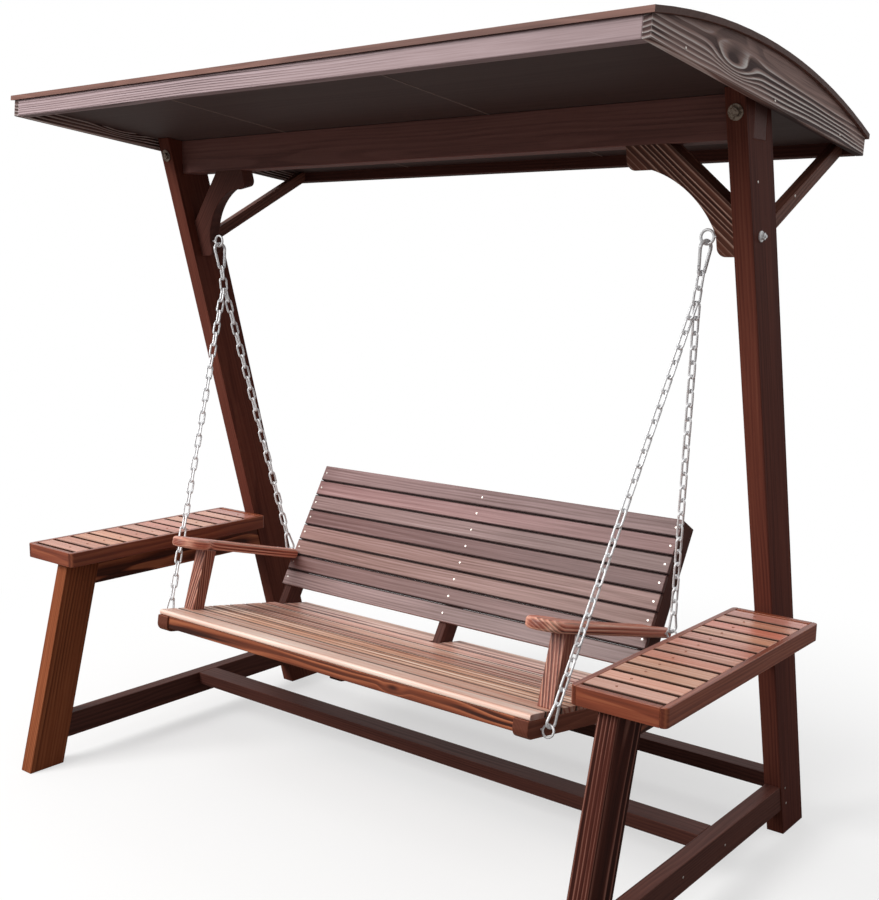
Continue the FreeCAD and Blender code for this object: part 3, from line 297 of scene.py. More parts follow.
class TimberShader:
    """The material of one board, built up from the rings of its log to its varnished surface."""

    # Along the log the wood changes this much slower than across it.
    ALONG_SHARE = 0.16
    # Cells to the metre: how the log wanders, years differ, brushing comes and goes, and char lies.
    WANDER_SCALE = 9.0
    YEARS_SCALE = 30.0
    PATCH_SCALE = 11.0
    BLOTCH_SCALE = 6.0
    # Noise keeps to the middle of its range, so it is drawn out to reach the finish's wander.
    WANDER_GAIN = 4.0
    # The most that the years shift a ring, in rings.
    YEARS_GAIN = 1.6
    # A knot is measured shorter along the grain, so it shows as an oval, with wide and uneven rings.
    KNOT_SHARE = 0.38
    KNOT_RING_SHARE = 0.3
    KNOT_UNEVEN = 3.0
    # What is left of the lines in a weak year, in a weak place, and where they have run out.
    WEAK_YEAR = 0.45
    WEAK_PLACE = 0.35
    FADED_SHARE = 0.12
    # A streak is about half a metre long, a fibre 2 mm wide and 110 mm long.
    STREAK_ALONG = 2.2
    FIBRE_ACROSS = 520.0
    FIBRE_ALONG = 9.0
    FIBRE_WEIGHT = 0.3
    # How far apart in the log the slats of a row are cut, in metres.
    SLAT_ACROSS = 0.09
    SLAT_ALONG = 3.0
    # Painted shade between two slats: its colour, and how much of it the slats' edges take.
    GAP_SHADE_COLOUR = "#150b0a"
    GAP_SHADE_SHARE = 0.92
    # How much of the stain's darkest colour the end grain gets: partly the stain it soaks up, partly painted
    # shade.
    END_SHARE = 0.7
    # Grooves are rougher than the finish says, and ridges smoother.
    GROOVE_ROUGHER = 0.14
    RIDGE_SMOOTHER = 0.05
    VARNISH_ROUGHNESS = 0.22

    def __init__(self, name: str, finish: Timber, lie: Lie, centre: Vector) -> None:
        """Takes the board's facts and starts its material.

        Args:
            name: The board's name, which the material's name ends with.
            finish: The timber's colours and surface.
            lie: How the grain runs in the board.
            centre: The middle of the board, in metres.
        """
        self.finish = finish
        self.lie = lie
        self.centre = centre
        self.material, self.tree = new_material(f"{finish.name}_{name}")
        self.normal: Optional[Socket] = None
        self.placed: Optional[Socket] = None
        self.long_grain: Optional[Socket] = None
        self.lines_left: Optional[Socket] = None
        self.chance: Optional[bpy.types.Node] = None
        self.slat_gap_shade: Optional[Socket] = None
        self.knot_distance: Optional[Socket] = None

    def board_place(self) -> Socket:
        """Lays coordinates along the board's own axes, from its middle.

        Returns:
            The coordinates, in metres.
        """
        tree, lie = self.tree, self.lie
        turn = lie.euler()
        datum = lie.row.datum if lie.row else self.centre
        inputs = add_node(tree, "TexCoord").outputs
        self.normal = add_node(tree, "Mapping", {
            "Vector": inputs["Normal"], "Rotation": turn}, vector_type="NORMAL").outputs["Vector"]
        to_datum = -(turn.to_matrix() @ datum)
        self.placed = add_node(tree, "Mapping", {
            "Vector": inputs["Object"], "Location": to_datum, "Rotation": turn}).outputs["Vector"]
        return self.own_slat(self.placed, lie.row) if lie.row else self.placed

    def own_slat(self, placed: Socket, row: Row) -> Socket:
        """Gives each slat of a row its own part of a log, and finds where painted shade lies on the slats'
        edges.

        Args:
            placed: Coordinates from the row's datum.
            row: How the slats are laid.

        Returns:
            Coordinates that differ from slat to slat.
        """
        tree = self.tree
        along_row = add_node(tree, "SeparateXYZ", {"Vector": placed}).outputs[row.axis.value]
        steps = add_node(tree, "Math", {0: along_row, 1: 1 / row.pitch}, operation="MULTIPLY").outputs[0]
        number = add_node(tree, "Math", {0: steps}, operation="FLOOR").outputs[0]
        self.chance = add_node(tree, "TexWhiteNoise", {"W": number}, noise_dimensions="1D")
        # Painted shade: each slat's edges beside a gap are darkened towards the gap's shade colour.
        from_gap = add_node(tree, "Math", {0: along_row, 1: row.pitch / 2}, operation="PINGPONG").outputs[0]
        edge = add_node(tree, "MapRange", {
            "Value": from_gap, "From Min": row.gap / 2 + row.gap_shade_mm * 0.5 * MM,
            "From Max": row.gap / 2 + row.gap_shade_mm * MM,
            "To Min": self.GAP_SHADE_SHARE, "To Max": 0.0}).outputs["Result"]
        # The painted shade is left off the row's own outer edges, which are in the light, unless a frame
        # closes the row in.
        reach = (row.count + (1 if row.framed else -1)) * row.pitch / 2
        within = add_node(tree, "Math", {
            0: along_row, 1: row.count * row.pitch / 2, 2: reach}, operation="COMPARE").outputs[0]
        self.slat_gap_shade = add_node(tree, "Math", {0: edge, 1: within}, operation="MULTIPLY").outputs[0]
        back_step = row.axis.unit() * -row.pitch
        home = add_node(tree, "VectorMath", {
            0: number, 1: back_step, 2: placed}, operation="MULTIPLY_ADD").outputs[0]
        spread = self.lie.axis.across() * self.SLAT_ACROSS + self.lie.axis.unit() * self.SLAT_ALONG
        return add_node(tree, "VectorMath", {
            0: self.chance.outputs["Color"], 1: spread, 2: home}, operation="MULTIPLY_ADD").outputs[0]

    def log_radius(self, local: Socket) -> Socket:
        """Measures the distance from the log's middle, as the growing tree wandered, and round the knot.

        Args:
            local: Coordinates of the board.

        Returns:
            The radius, in metres.
        """
        tree, lie = self.tree, self.lie
        placed = add_node(tree, "VectorMath", {
            0: local, 1: Vector(lie.pith_mm) * MM}, operation="ADD").outputs[0]
        drawn_out = lie.axis.across() + lie.axis.unit() * self.ALONG_SHARE
        self.long_grain = add_node(tree, "VectorMath", {
            0: placed, 1: drawn_out}, operation="MULTIPLY").outputs[0]
        wander = add_node(tree, "TexNoise", {
            "Vector": self.long_grain, "Scale": self.WANDER_SCALE, "Detail": 2.0,
            "Roughness": 0.45}).outputs["Fac"]
        round_pith = add_node(tree, "VectorMath", {
            0: placed, 1: lie.axis.across()}, operation="MULTIPLY").outputs[0]
        radius = add_node(tree, "VectorMath", {0: round_pith}, operation="LENGTH").outputs["Value"]
        drift = self.finish.wander_mm * self.WANDER_GAIN * MM
        field = add_node(tree, "Math", {
            0: wander, 1: drift, 2: radius}, operation="MULTIPLY_ADD").outputs[0]
        if lie.knot is None:
            return field
        # Close to a knot the rings run round the knot instead of round the log.
        from_knot = add_node(tree, "VectorMath", {
            0: local, 1: Vector(lie.knot.place_mm) * MM}, operation="SUBTRACT").outputs[0]
        oval = lie.axis.across() + lie.axis.unit() * self.KNOT_SHARE
        from_knot = add_node(tree, "VectorMath", {0: from_knot, 1: oval}, operation="MULTIPLY").outputs[0]
        self.knot_distance = add_node(tree, "VectorMath", {0: from_knot}, operation="LENGTH").outputs["Value"]
        size = lie.knot.size_mm * MM
        near = add_node(tree, "MapRange", {
            "Value": self.knot_distance, "From Min": size * 0.3, "From Max": size * 1.5,
            "To Min": 1.0, "To Max": 0.0}, interpolation_type="SMOOTHERSTEP").outputs["Result"]
        wide_rings = add_node(tree, "Math", {
            0: self.knot_distance, 1: self.KNOT_RING_SHARE}, operation="MULTIPLY").outputs[0]
        whorl = add_node(tree, "Math", {
            0: wander, 1: drift * self.KNOT_UNEVEN, 2: wide_rings}, operation="MULTIPLY_ADD").outputs[0]
        return add_node(tree, "Mix", {"Factor": near, 2: field, 3: whorl}).outputs[0]

    def line_strength(self, turns: Socket) -> Socket:
        """Finds how strongly the brushed lines stand out: more in some years and places than in others.

        Args:
            turns: The count of years, with its fraction.

        Returns:
            The strength, from 0 to the finish's contrast.
        """
        tree = self.tree
        number = add_node(tree, "Math", {0: turns}, operation="FLOOR").outputs[0]
        luck = add_node(tree, "TexWhiteNoise", {"W": number}, noise_dimensions="1D").outputs["Value"]
        contrast = self.finish.contrast
        by_year = add_node(tree, "MapRange", {
            "Value": luck, "To Min": contrast * self.WEAK_YEAR, "To Max": contrast}).outputs["Result"]
        patch = add_node(tree, "TexNoise", {
            "Vector": self.long_grain, "Scale": self.PATCH_SCALE, "Detail": 1.0}).outputs["Fac"]
        by_place = add_node(tree, "MapRange", {
            "Value": patch, "From Min": 0.36, "From Max": 0.58,
            "To Min": self.WEAK_PLACE, "To Max": 1.0}).outputs["Result"]
        strength = add_node(tree, "Math", {0: by_year, 1: by_place}, operation="MULTIPLY").outputs[0]
        fade = self.lie.fade
        if fade is None:
            return strength
        along = add_node(tree, "SeparateXYZ", {"Vector": self.placed}).outputs[fade.axis.value]
        self.lines_left = add_node(tree, "MapRange", {
            "Value": along, "From Min": fade.strong_mm * MM, "From Max": fade.plain_mm * MM,
            "To Min": 1.0, "To Max": self.FADED_SHARE}).outputs["Result"]
        return add_node(tree, "Math", {0: strength, 1: self.lines_left}, operation="MULTIPLY").outputs[0]

    def brushed_tone(self, local: Socket) -> Socket:
        """Makes the light and dark of the brushed grain: rings, streaks and fibres.

        Args:
            local: Coordinates of the board.

        Returns:
            The tone, about 0.5, low in grooves and high on ridges.
        """
        tree, finish, axis = self.tree, self.finish, self.lie.axis
        radius = self.log_radius(local)
        # Years differ: the spacing of the rings is let out and drawn in by a slow noise over the radius.
        years = add_node(tree, "TexNoise", {
            "W": radius, "Scale": self.YEARS_SCALE, "Detail": 1.0}, noise_dimensions="1D")
        uneven = add_node(tree, "Math", {
            0: years.outputs["Fac"], 1: finish.ring_mm * self.YEARS_GAIN * MM, 2: radius},
            operation="MULTIPLY_ADD").outputs[0]
        turns = add_node(tree, "Math", {
            0: uneven, 1: 1 / (finish.ring_mm * MM)}, operation="MULTIPLY").outputs[0]
        year = add_node(tree, "Math", {0: turns}, operation="FRACT").outputs[0]
        # Hard late wood rises through the year and ends at once in the next year's soft wood.
        ridge = add_node(tree, "ValToRGB", {"Fac": year})
        share = finish.groove_share
        colour_stops(ridge, [
            (0.0, "#000000"), (share * 0.7, "#303030"), (share, "#b0b0b0"), (0.88, "#ffffff"),
            (1.0, "#000000")])
        ring_tone = add_node(tree, "Math", {
            0: ridge.outputs["Color"], 1: 0.5}, operation="SUBTRACT").outputs[0]
        strength = self.line_strength(turns)
        tone = add_node(tree, "Math", {
            0: ring_tone, 1: strength, 2: 0.5}, operation="MULTIPLY_ADD").outputs[0]
        # The lift shifts the tone where the lines have run out; some boards use it for painted sheen and
        # painted shade.
        if self.lie.fade is not None:
            lift = self.lie.fade.lift
            painted_lift = add_node(tree, "MapRange", {
                "Value": self.lines_left, "To Min": lift, "To Max": 0.0}).outputs["Result"]
            tone = add_node(tree, "Math", {0: tone, 1: painted_lift}, operation="ADD").outputs[0]
        streaks = (1 / (finish.streak_mm * MM), self.STREAK_ALONG, finish.streak)
        fibres = (self.FIBRE_ACROSS, self.FIBRE_ALONG, self.FIBRE_WEIGHT)
        for across, along, weight in (streaks, fibres):
            stretch = axis.across() * across + axis.unit() * along
            lines = add_node(tree, "VectorMath", {0: local, 1: stretch}, operation="MULTIPLY").outputs[0]
            noise = add_node(tree, "TexNoise", {
                "Vector": lines, "Scale": 1.0, "Detail": 2.0, "Roughness": 0.6}).outputs["Fac"]
            level = add_node(tree, "Math", {0: noise, 1: -0.5}, operation="ADD").outputs[0]
            tone = add_node(tree, "Math", {
                0: level, 1: weight, 2: tone}, operation="MULTIPLY_ADD").outputs[0]
        return tone

    def stained_colour(self, tone: Socket) -> Socket:
        """Colours the grain, then burns and tints it, paints shade on the slats' edges and paints highlights
        on eased edges.

        Args:
            tone: The brushed grain's tone.

        Returns:
            The base colour.
        """
        tree, finish = self.tree, self.finish
        wood = add_node(tree, "ValToRGB", {"Fac": tone})
        colour_stops(wood, [(0.1, finish.groove), (0.5, finish.body), (0.9, finish.ridge)])
        colour = wood.outputs["Color"]
        blotch = add_node(tree, "TexNoise", {
            "Vector": self.long_grain, "Scale": self.BLOTCH_SCALE, "Detail": 3.0,
            "Roughness": 0.55}).outputs["Fac"]
        burnt = add_node(tree, "MapRange", {
            "Value": blotch, "From Min": 0.42, "From Max": 0.7,
            "To Min": 0.0, "To Max": finish.char}).outputs["Result"]
        groove = linear(finish.groove)
        colour = add_node(tree, "Mix", {
            "Factor": burnt, 6: colour, 7: groove}, data_type="RGBA").outputs[2]
        if self.knot_distance is not None:
            size = self.lie.knot.size_mm * MM
            heart = add_node(tree, "MapRange", {
                "Value": self.knot_distance, "From Min": size * 0.12, "From Max": size * 0.5,
                "To Min": 0.85, "To Max": 0.0}).outputs["Result"]
            colour = add_node(tree, "Mix", {
                "Factor": heart, 6: colour, 7: groove}, data_type="RGBA").outputs[2]
        if self.chance is not None:
            spread = finish.tint_spread
            chances = add_node(tree, "SeparateColor", {"Color": self.chance.outputs["Color"]}).outputs
            ranges = (
                ("Red", 1 - spread, 1 + spread), ("Green", 1 - spread, 1 + spread), ("Blue", 0.49, 0.51))
            value, saturation, hue = [
                add_node(tree, "MapRange", {
                    "Value": chances[name], "To Min": low, "To Max": high}).outputs["Result"]
                for name, low, high in ranges]
            colour = add_node(tree, "HueSaturation", {
                "Hue": hue, "Saturation": saturation, "Value": value, "Color": colour}).outputs["Color"]
            # Painted shade on the slats' edges beside the gaps.
            colour = add_node(tree, "Mix", {
                "Factor": self.slat_gap_shade, 6: colour, 7: linear(self.GAP_SHADE_COLOUR)}, data_type="RGBA").outputs[2]
        return self.paint_edges_and_ends(colour)

    def paint_edges_and_ends(self, colour: Socket) -> Socket:
        """Paints highlights on the eased edges, which face two ways at once, and darkens the end grain,
        partly by the stain it soaks up and partly as painted shade.

        Args:
            colour: The colour so far.

        Returns:
            The colour with painted highlights on the edges and darker ends.
        """
        tree, finish = self.tree, self.finish
        facing = add_node(tree, "VectorMath", {0: self.normal}, operation="ABSOLUTE").outputs[0]
        parts = add_node(tree, "SeparateXYZ", {"Vector": facing}).outputs
        largest = add_node(tree, "Math", {0: parts["X"], 1: parts["Y"]}, operation="MAXIMUM").outputs[0]
        largest = add_node(tree, "Math", {0: largest, 1: parts["Z"]}, operation="MAXIMUM").outputs[0]
        # Painted highlight: eased edges, whose facets face two ways at once, are made paler.
        edge = add_node(tree, "MapRange", {
            "Value": largest, "From Min": 0.78, "From Max": 0.94,
            "To Min": finish.edge_highlight, "To Max": 0.0}).outputs["Result"]
        colour = add_node(tree, "Mix", {
            "Factor": edge, 6: colour, 7: linear(finish.ridge)}, data_type="RGBA").outputs[2]
        # End grain is darkened: partly the stain it soaks up, partly painted shade.
        end = add_node(tree, "MapRange", {
            "Value": parts[self.lie.axis.value], "From Min": 0.75, "From Max": 0.97,
            "To Min": 0.0, "To Max": self.END_SHARE}).outputs["Result"]
        return add_node(tree, "Mix", {
            "Factor": end, 6: colour, 7: linear(finish.groove)}, data_type="RGBA").outputs[2]

    def build(self) -> bpy.types.Material:
        """Joins grain, colour, gloss and relief into the material.

        Returns:
            The material.
        """
        tree, finish = self.tree, self.finish
        tone = self.brushed_tone(self.board_place())
        gloss = add_node(tree, "MapRange", {
            "Value": tone, "To Min": finish.roughness + self.GROOVE_ROUGHER,
            "To Max": finish.roughness - self.RIDGE_SMOOTHER}).outputs["Result"]
        relief = add_node(tree, "Bump", {
            "Height": tone, "Strength": 1.0, "Distance": finish.relief_mm * MM}).outputs["Normal"]
        shader = add_node(tree, "BsdfPrincipled", {
            "Base Color": self.stained_colour(tone), "Roughness": gloss, "Normal": relief,
            "Specular IOR Level": finish.specular, "Coat Weight": finish.varnish,
            "Coat Roughness": self.VARNISH_ROUGHNESS})
        # The painted shade on the slats' edges also takes away their shine.
        if self.slat_gap_shade is not None:
            for name, full in (("Specular IOR Level", finish.specular), ("Coat Weight", finish.varnish)):
                shine = add_node(tree, "MapRange", {
                    "Value": self.slat_gap_shade, "To Min": full, "To Max": 0.0}).outputs["Result"]
                tree.links.new(shine, shader.inputs[name])
        add_node(tree, "OutputMaterial", {"Surface": shader.outputs["BSDF"]})
        return self.material


@dataclass(frozen=True)
class Plated:
    """Zinc-plated steel: a bright silver-blue metal, with a dull bloom where it has stood in the rain."""

    # Bloom is rougher than bright metal. Pits are drawn 1 mm wide, as the real ones wouldn't show.
    BLOOM_ROUGHER = 0.2
    PIT_SCALE = 900.0
    PIT_DEPTH = 0.1 * MM
    PIT_STRENGTH = 0.35

    name: str
    bright: str
    dull: str
    roughness: float = 0.24
    bloom_mm: float = 7.0
    metallic: float = 1.0

    def material(self) -> bpy.types.Material:
        """Makes the metal's material.

        Returns:
            The material.
        """
        material, tree = new_material(self.name)
        coordinates = add_node(tree, "TexCoord").outputs["Object"]
        bloom = add_node(tree, "TexNoise", {
            "Vector": coordinates, "Scale": 1 / (self.bloom_mm * MM), "Detail": 3.0,
            "Roughness": 0.6}).outputs["Fac"]
        colour = add_node(tree, "ValToRGB", {"Fac": bloom})
        colour_stops(colour, [(0.35, self.dull), (0.58, self.bright)])
        rough = add_node(tree, "MapRange", {
            "Value": bloom, "From Min": 0.3, "From Max": 0.7,
            "To Min": self.roughness + self.BLOOM_ROUGHER, "To Max": self.roughness}).outputs["Result"]
        pits = add_node(tree, "TexNoise", {
            "Vector": coordinates, "Scale": self.PIT_SCALE, "Detail": 2.0}).outputs["Fac"]
        relief = add_node(tree, "Bump", {
            "Height": pits, "Strength": self.PIT_STRENGTH, "Distance": self.PIT_DEPTH}).outputs["Normal"]
        shader = add_node(tree, "BsdfPrincipled", {
            "Base Color": colour.outputs["Color"], "Roughness": rough, "Normal": relief,
            "Metallic": self.metallic})
        add_node(tree, "OutputMaterial", {"Surface": shader.outputs["BSDF"]})
        return material


# New zinc plating: nearly white, a soft shine without a mirror's dark patches.
CHAIN_ZINC = Plated("zinc_plated_chain", "#f3f3f4", "#dcdddf", roughness=0.36, metallic=0.3)
# Bare nail heads: small bright dots.
NAIL_STEEL = Plated("bright_nail_steel", "#d9d2cb", "#b3a9a2", roughness=0.36, bloom_mm=4.0)
# Washers out in the weather: dull brown grey.
AGED_STEEL = Plated("aged_washer_steel", "#8d7f72", "#5a4a40", roughness=0.42, bloom_mm=6.0)
# Nail heads stained over with the slats: dots a little darker than the wood.
STAINED_NAIL = Plated("stained_nail_steel", "#a8745f", "#80503f", roughness=0.45, bloom_mm=4.0, metallic=0.4)


def dress(node_name: str, *materials: bpy.types.Material) -> bpy.types.Mesh:
    """Gives a CAD node its materials, the first one all over.

    Args:
        node_name: The node's name.
        *materials: The materials, one for each slot.

    Returns:
        The node's mesh.
    """
    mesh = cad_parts[node_name].data
    mesh.materials.clear()
    for material in materials:
        mesh.materials.append(material)
        log.info("dressed %s with %s", node_name, material.name)
    return mesh


def board_material(node_name: str, finish: Timber, lie: Lie, piece: str = "") -> bpy.types.Material:
    """Makes a timber material that is centred on a CAD node.

    Args:
        node_name: The node's name.
        finish: The timber's colours and surface.
        lie: How the grain runs in it.
        piece: What the material's name adds where the node has several.

    Returns:
        The material.
    """
    low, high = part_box(node_name)
    return TimberShader(node_name + piece, finish, lie, (low + high) / 2).build()


def dress_board(node_name: str, finish: Timber, lie: Lie) -> None:
    """Gives a CAD node one timber material.

    Args:
        node_name: The node's name.
        finish: The timber's colours and surface.
        lie: How the grain runs in it.
    """
    dress(node_name, board_material(node_name, finish, lie))


# New pieces


def only_selected(item: Optional[bpy.types.Object]) -> None:
    """Deselects everything but one object and makes it active.

    Args:
        item: The object, or nothing.
    """
    bpy.ops.object.select_all(action="DESELECT")
    if item is not None:
        item.select_set(True)
        bpy.context.view_layer.objects.active = item


def select_faces(item: bpy.types.Object, wanted: Callable[[bpy.types.MeshPolygon], bool]) -> None:
    """Goes into edit mode with only the wanted faces selected.

    Args:
        item: The active object, in object mode.
        wanted: Tells of a face whether it is selected.
    """
    bpy.ops.object.mode_set(mode="EDIT")
    bpy.ops.mesh.select_mode(type="FACE")
    bpy.ops.mesh.select_all(action="DESELECT")
    bpy.ops.object.mode_set(mode="OBJECT")
    for face in item.data.polygons:
        face.select = wanted(face)
    bpy.ops.object.mode_set(mode="EDIT")


def finished(item: bpy.types.Object, name: str, material: bpy.types.Material, body: str) -> None:
    """Puts a piece's place into its mesh, gives it its material and lets it ride on a body.

    Args:
        item: The piece.
        name: Its name.
        material: Its material.
        body: The body that carries it.
    """
    item.name = name
    only_selected(item)
    bpy.ops.object.transform_apply(location=True, rotation=True, scale=True)
    bpy.ops.object.shade_smooth_by_angle(angle=SMOOTH_ANGLE)
    item.data.materials.clear()
    item.data.materials.append(material)
    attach(item, body)
    log.info("built %s, %d faces", item.name, len(item.data.polygons))


@dataclass
class NailHead:
    """A nail's flat head, a little domed, standing just off the wood."""

    diameter: float = 6.5 * MM
    height: float = 1.3 * MM
    sides: int = 14
    rim_share: float = 0.16
    rim_rise: float = 0.3
    crown_share: float = 0.14
    crown_rise: float = 0.08

    def model(self) -> bpy.types.Object:
        """Models one head at the origin, its top along +Z.

        Returns:
            The head.
        """
        only_selected(None)
        bpy.ops.mesh.primitive_cylinder_add(
            vertices=self.sides, radius=self.diameter / 2, depth=self.height)
        head = bpy.context.object
        select_faces(head, lambda face: face.normal.z > 0.9)
        bpy.ops.mesh.inset(thickness=self.diameter * self.rim_share)
        bpy.ops.transform.translate(value=(0, 0, self.height * self.rim_rise))
        bpy.ops.mesh.inset(thickness=self.diameter * self.crown_share)
        bpy.ops.transform.translate(value=(0, 0, self.height * self.crown_rise))
        bpy.ops.object.mode_set(mode="OBJECT")
        return head

    def set(self, name: str, places: list[Vector], outward: Vector, material: bpy.types.Material,
            body: str) -> None:
        """Sets copies of the head on a surface and joins them to one piece.

        Args:
            name: The piece's name.
            places: Points on the surface.
            outward: The direction that the surface faces.
            material: The heads' material.
            body: The body that carries them.
        """
        pattern = self.model()
        turn = outward.to_track_quat("Z", "Y").to_matrix().to_4x4()
        copies = []
        for point in places:
            head = pattern.copy()
            head.data = pattern.data.copy()
            bpy.context.scene.collection.objects.link(head)
            head.matrix_world = Matrix.Translation(point) @ turn
            copies.append(head)
        bpy.data.objects.remove(pattern)
        only_selected(copies[0])
        for head in copies:
            head.select_set(True)
        bpy.ops.object.join()
        finished(bpy.context.object, name, material, body)


# Sub-assemblies


@dataclass
class LowerFrame:
    """Legs, posts, bottom rails and stretchers."""

    leg_lean: float = 14.5
    post_lean: float = 15.25
    outer_x: float = 1014 * MM
    rail_outer_x: float = 1011 * MM
    post_nails: tuple[tuple[float, float], ...] = ((0.062, 1.773), (0.4895, 0.1447), (0.5051, 0.0941))
    rail_nails: tuple[tuple[float, float], ...] = ((0.1147, 0.1157), (-0.118, 0.121))

    def dress(self) -> None:
        """Gives each upright and rail its timber."""
        leg_turn = (self.leg_lean, 0.0, 0.0)
        post_turn = (-self.post_lean, 0.0, 0.0)
        # Painted shade: the right post's side that faces +X is darker, and its lines fade there.
        painted_shade_side = Fade(Axis.X, 20.0, 24.0, -0.2)
        for side, pith, fade in (("left", 70.0, None), ("right", -58.0, painted_shade_side)):
            dress_board(f"{side}_rear_post", POST_WOOD, Lie(Axis.Z, post_turn, (pith, 52.0, 0.0), fade=fade))
            dress_board(f"{side}_bottom_rail", FRAME_WOOD, Lie(Axis.Y, pith_mm=(pith, 0.0, 48.0)))
        dress_board("left_front_leg", LEFT_LEG_WOOD, Lie(Axis.Z, leg_turn, (70.0, 90.0, 0.0)))
        dress_board("right_front_leg", RIGHT_LEG_WOOD, Lie(Axis.Z, leg_turn, (-140.0, 12.0, 0.0)))
        dress_board("centre_stretcher", FRAME_WOOD, Lie(Axis.X, pith_mm=(0.0, 38.0, 55.0)))
        dress_board("rear_stretcher", FRAME_WOOD, Lie(Axis.X, pith_mm=(0.0, -46.0, 62.0)))
        steel = NAIL_STEEL.material()
        for side, hand in (("left", -1), ("right", 1)):
            places = [Vector((hand * self.outer_x, y, z)) for y, z in self.post_nails]
            places += [Vector((hand * self.rail_outer_x, y, z)) for y, z in self.rail_nails]
            NailHead().set(f"{side}_frame_nail_heads", places, Vector((hand, 0, 0)), steel, "frame")


@dataclass
class SideTables:
    """The two tables beside the bench."""

    slat_count: int = 12
    slat_gap: float = 13 * MM
    rail_thickness: float = 16 * MM
    face_margin: float = 0.5 * MM

    def dress(self) -> None:
        """Gives rails, slats and bearers their timber."""
        # The fronts of the table tops change in tone: paler on the right table, a painted sheen, and a little
        # darker on the left.
        for side, pith, front_painted_light in (("left", 42.0, -0.08), ("right", -66.0, 0.17)):
            low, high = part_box(f"{side}_table_slats")
            pitch = (high.y - low.y + self.slat_gap) / self.slat_count
            datum = Vector((0.0, low.y - self.slat_gap / 2, low.z))
            row = Row(datum, self.slat_count, pitch, self.slat_gap, Axis.Y, framed=True)
            lie = Lie(Axis.X, pith_mm=(0.0, 20.0, 50.0), row=row, fade=Fade(Axis.Y, 360.0, 20.0, front_painted_light))
            dress_board(f"{side}_table_slats", TABLE_WOOD, lie)
            self.dress_rails(f"{side}_table_frame", pith)
            dress_board(f"{side}_table_bearer", APRON_WOOD, Lie(Axis.Y, pith_mm=(90.0, 0.0, 30.0)))
        dress("table_nails", STAINED_NAIL.material())

    def dress_rails(self, node_name: str, pith: float) -> None:
        """Gives the long rails and the end rails of a table grain along their own length.

        Args:
            node_name: The table frame's node.
            pith: The log's middle beside the long rails, in millimetres.
        """
        long_lie = Lie(Axis.Y, pith_mm=(pith, 0.0, 80.0))
        end_lie = Lie(Axis.X, pith_mm=(0.0, 60.0, 70.0))
        long_wood = board_material(node_name, TABLE_RAIL_WOOD, long_lie, "_long")
        end_wood = board_material(node_name, TABLE_RAIL_WOOD, end_lie, "_end")
        mesh = dress(node_name, long_wood, end_wood)
        low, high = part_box(node_name)
        margin = self.rail_thickness + self.face_margin
        for face in mesh.polygons:
            face.material_index = int(low.x + margin < face.center.x < high.x - margin)


@dataclass
class BeamAndBraces:
    """The top beam, its knee braces and the struts behind the posts."""

    post_lean: float = 15.25
    brace_angle: float = 45.0
    strut_angle: float = 27.7
    strut_outer_x: float = 1004 * MM
    strut_nails: tuple[tuple[float, float], ...] = ((0.3048, 1.7561),)

    def dress(self) -> None:
        """Gives beam, braces and struts their timber."""
        dress_board("top_beam", BEAM_WOOD, Lie(Axis.X, pith_mm=(0.0, 75.0, 30.0)))
        steel = NAIL_STEEL.material()
        strut_turn = (-self.strut_angle, 0.0, 0.0)
        for side, hand, wood in (("left", -1, FRAME_WOOD), ("right", 1, BRACE_WOOD)):
            turn = (-self.post_lean, -hand * self.brace_angle, 0.0)
            dress_board(f"{side}_knee_brace", wood, Lie(Axis.X, turn, (0.0, 20.0, 150.0)))
            dress_board(f"{side}_roof_strut", STRUT_WOOD, Lie(Axis.Y, strut_turn, (30.0, 0.0, 40.0)))
            places = [Vector((hand * self.strut_outer_x, y, z)) for y, z in self.strut_nails]
            NailHead().set(f"{side}_strut_nail_head", places, Vector((hand, 0, 0)), steel, "frame")


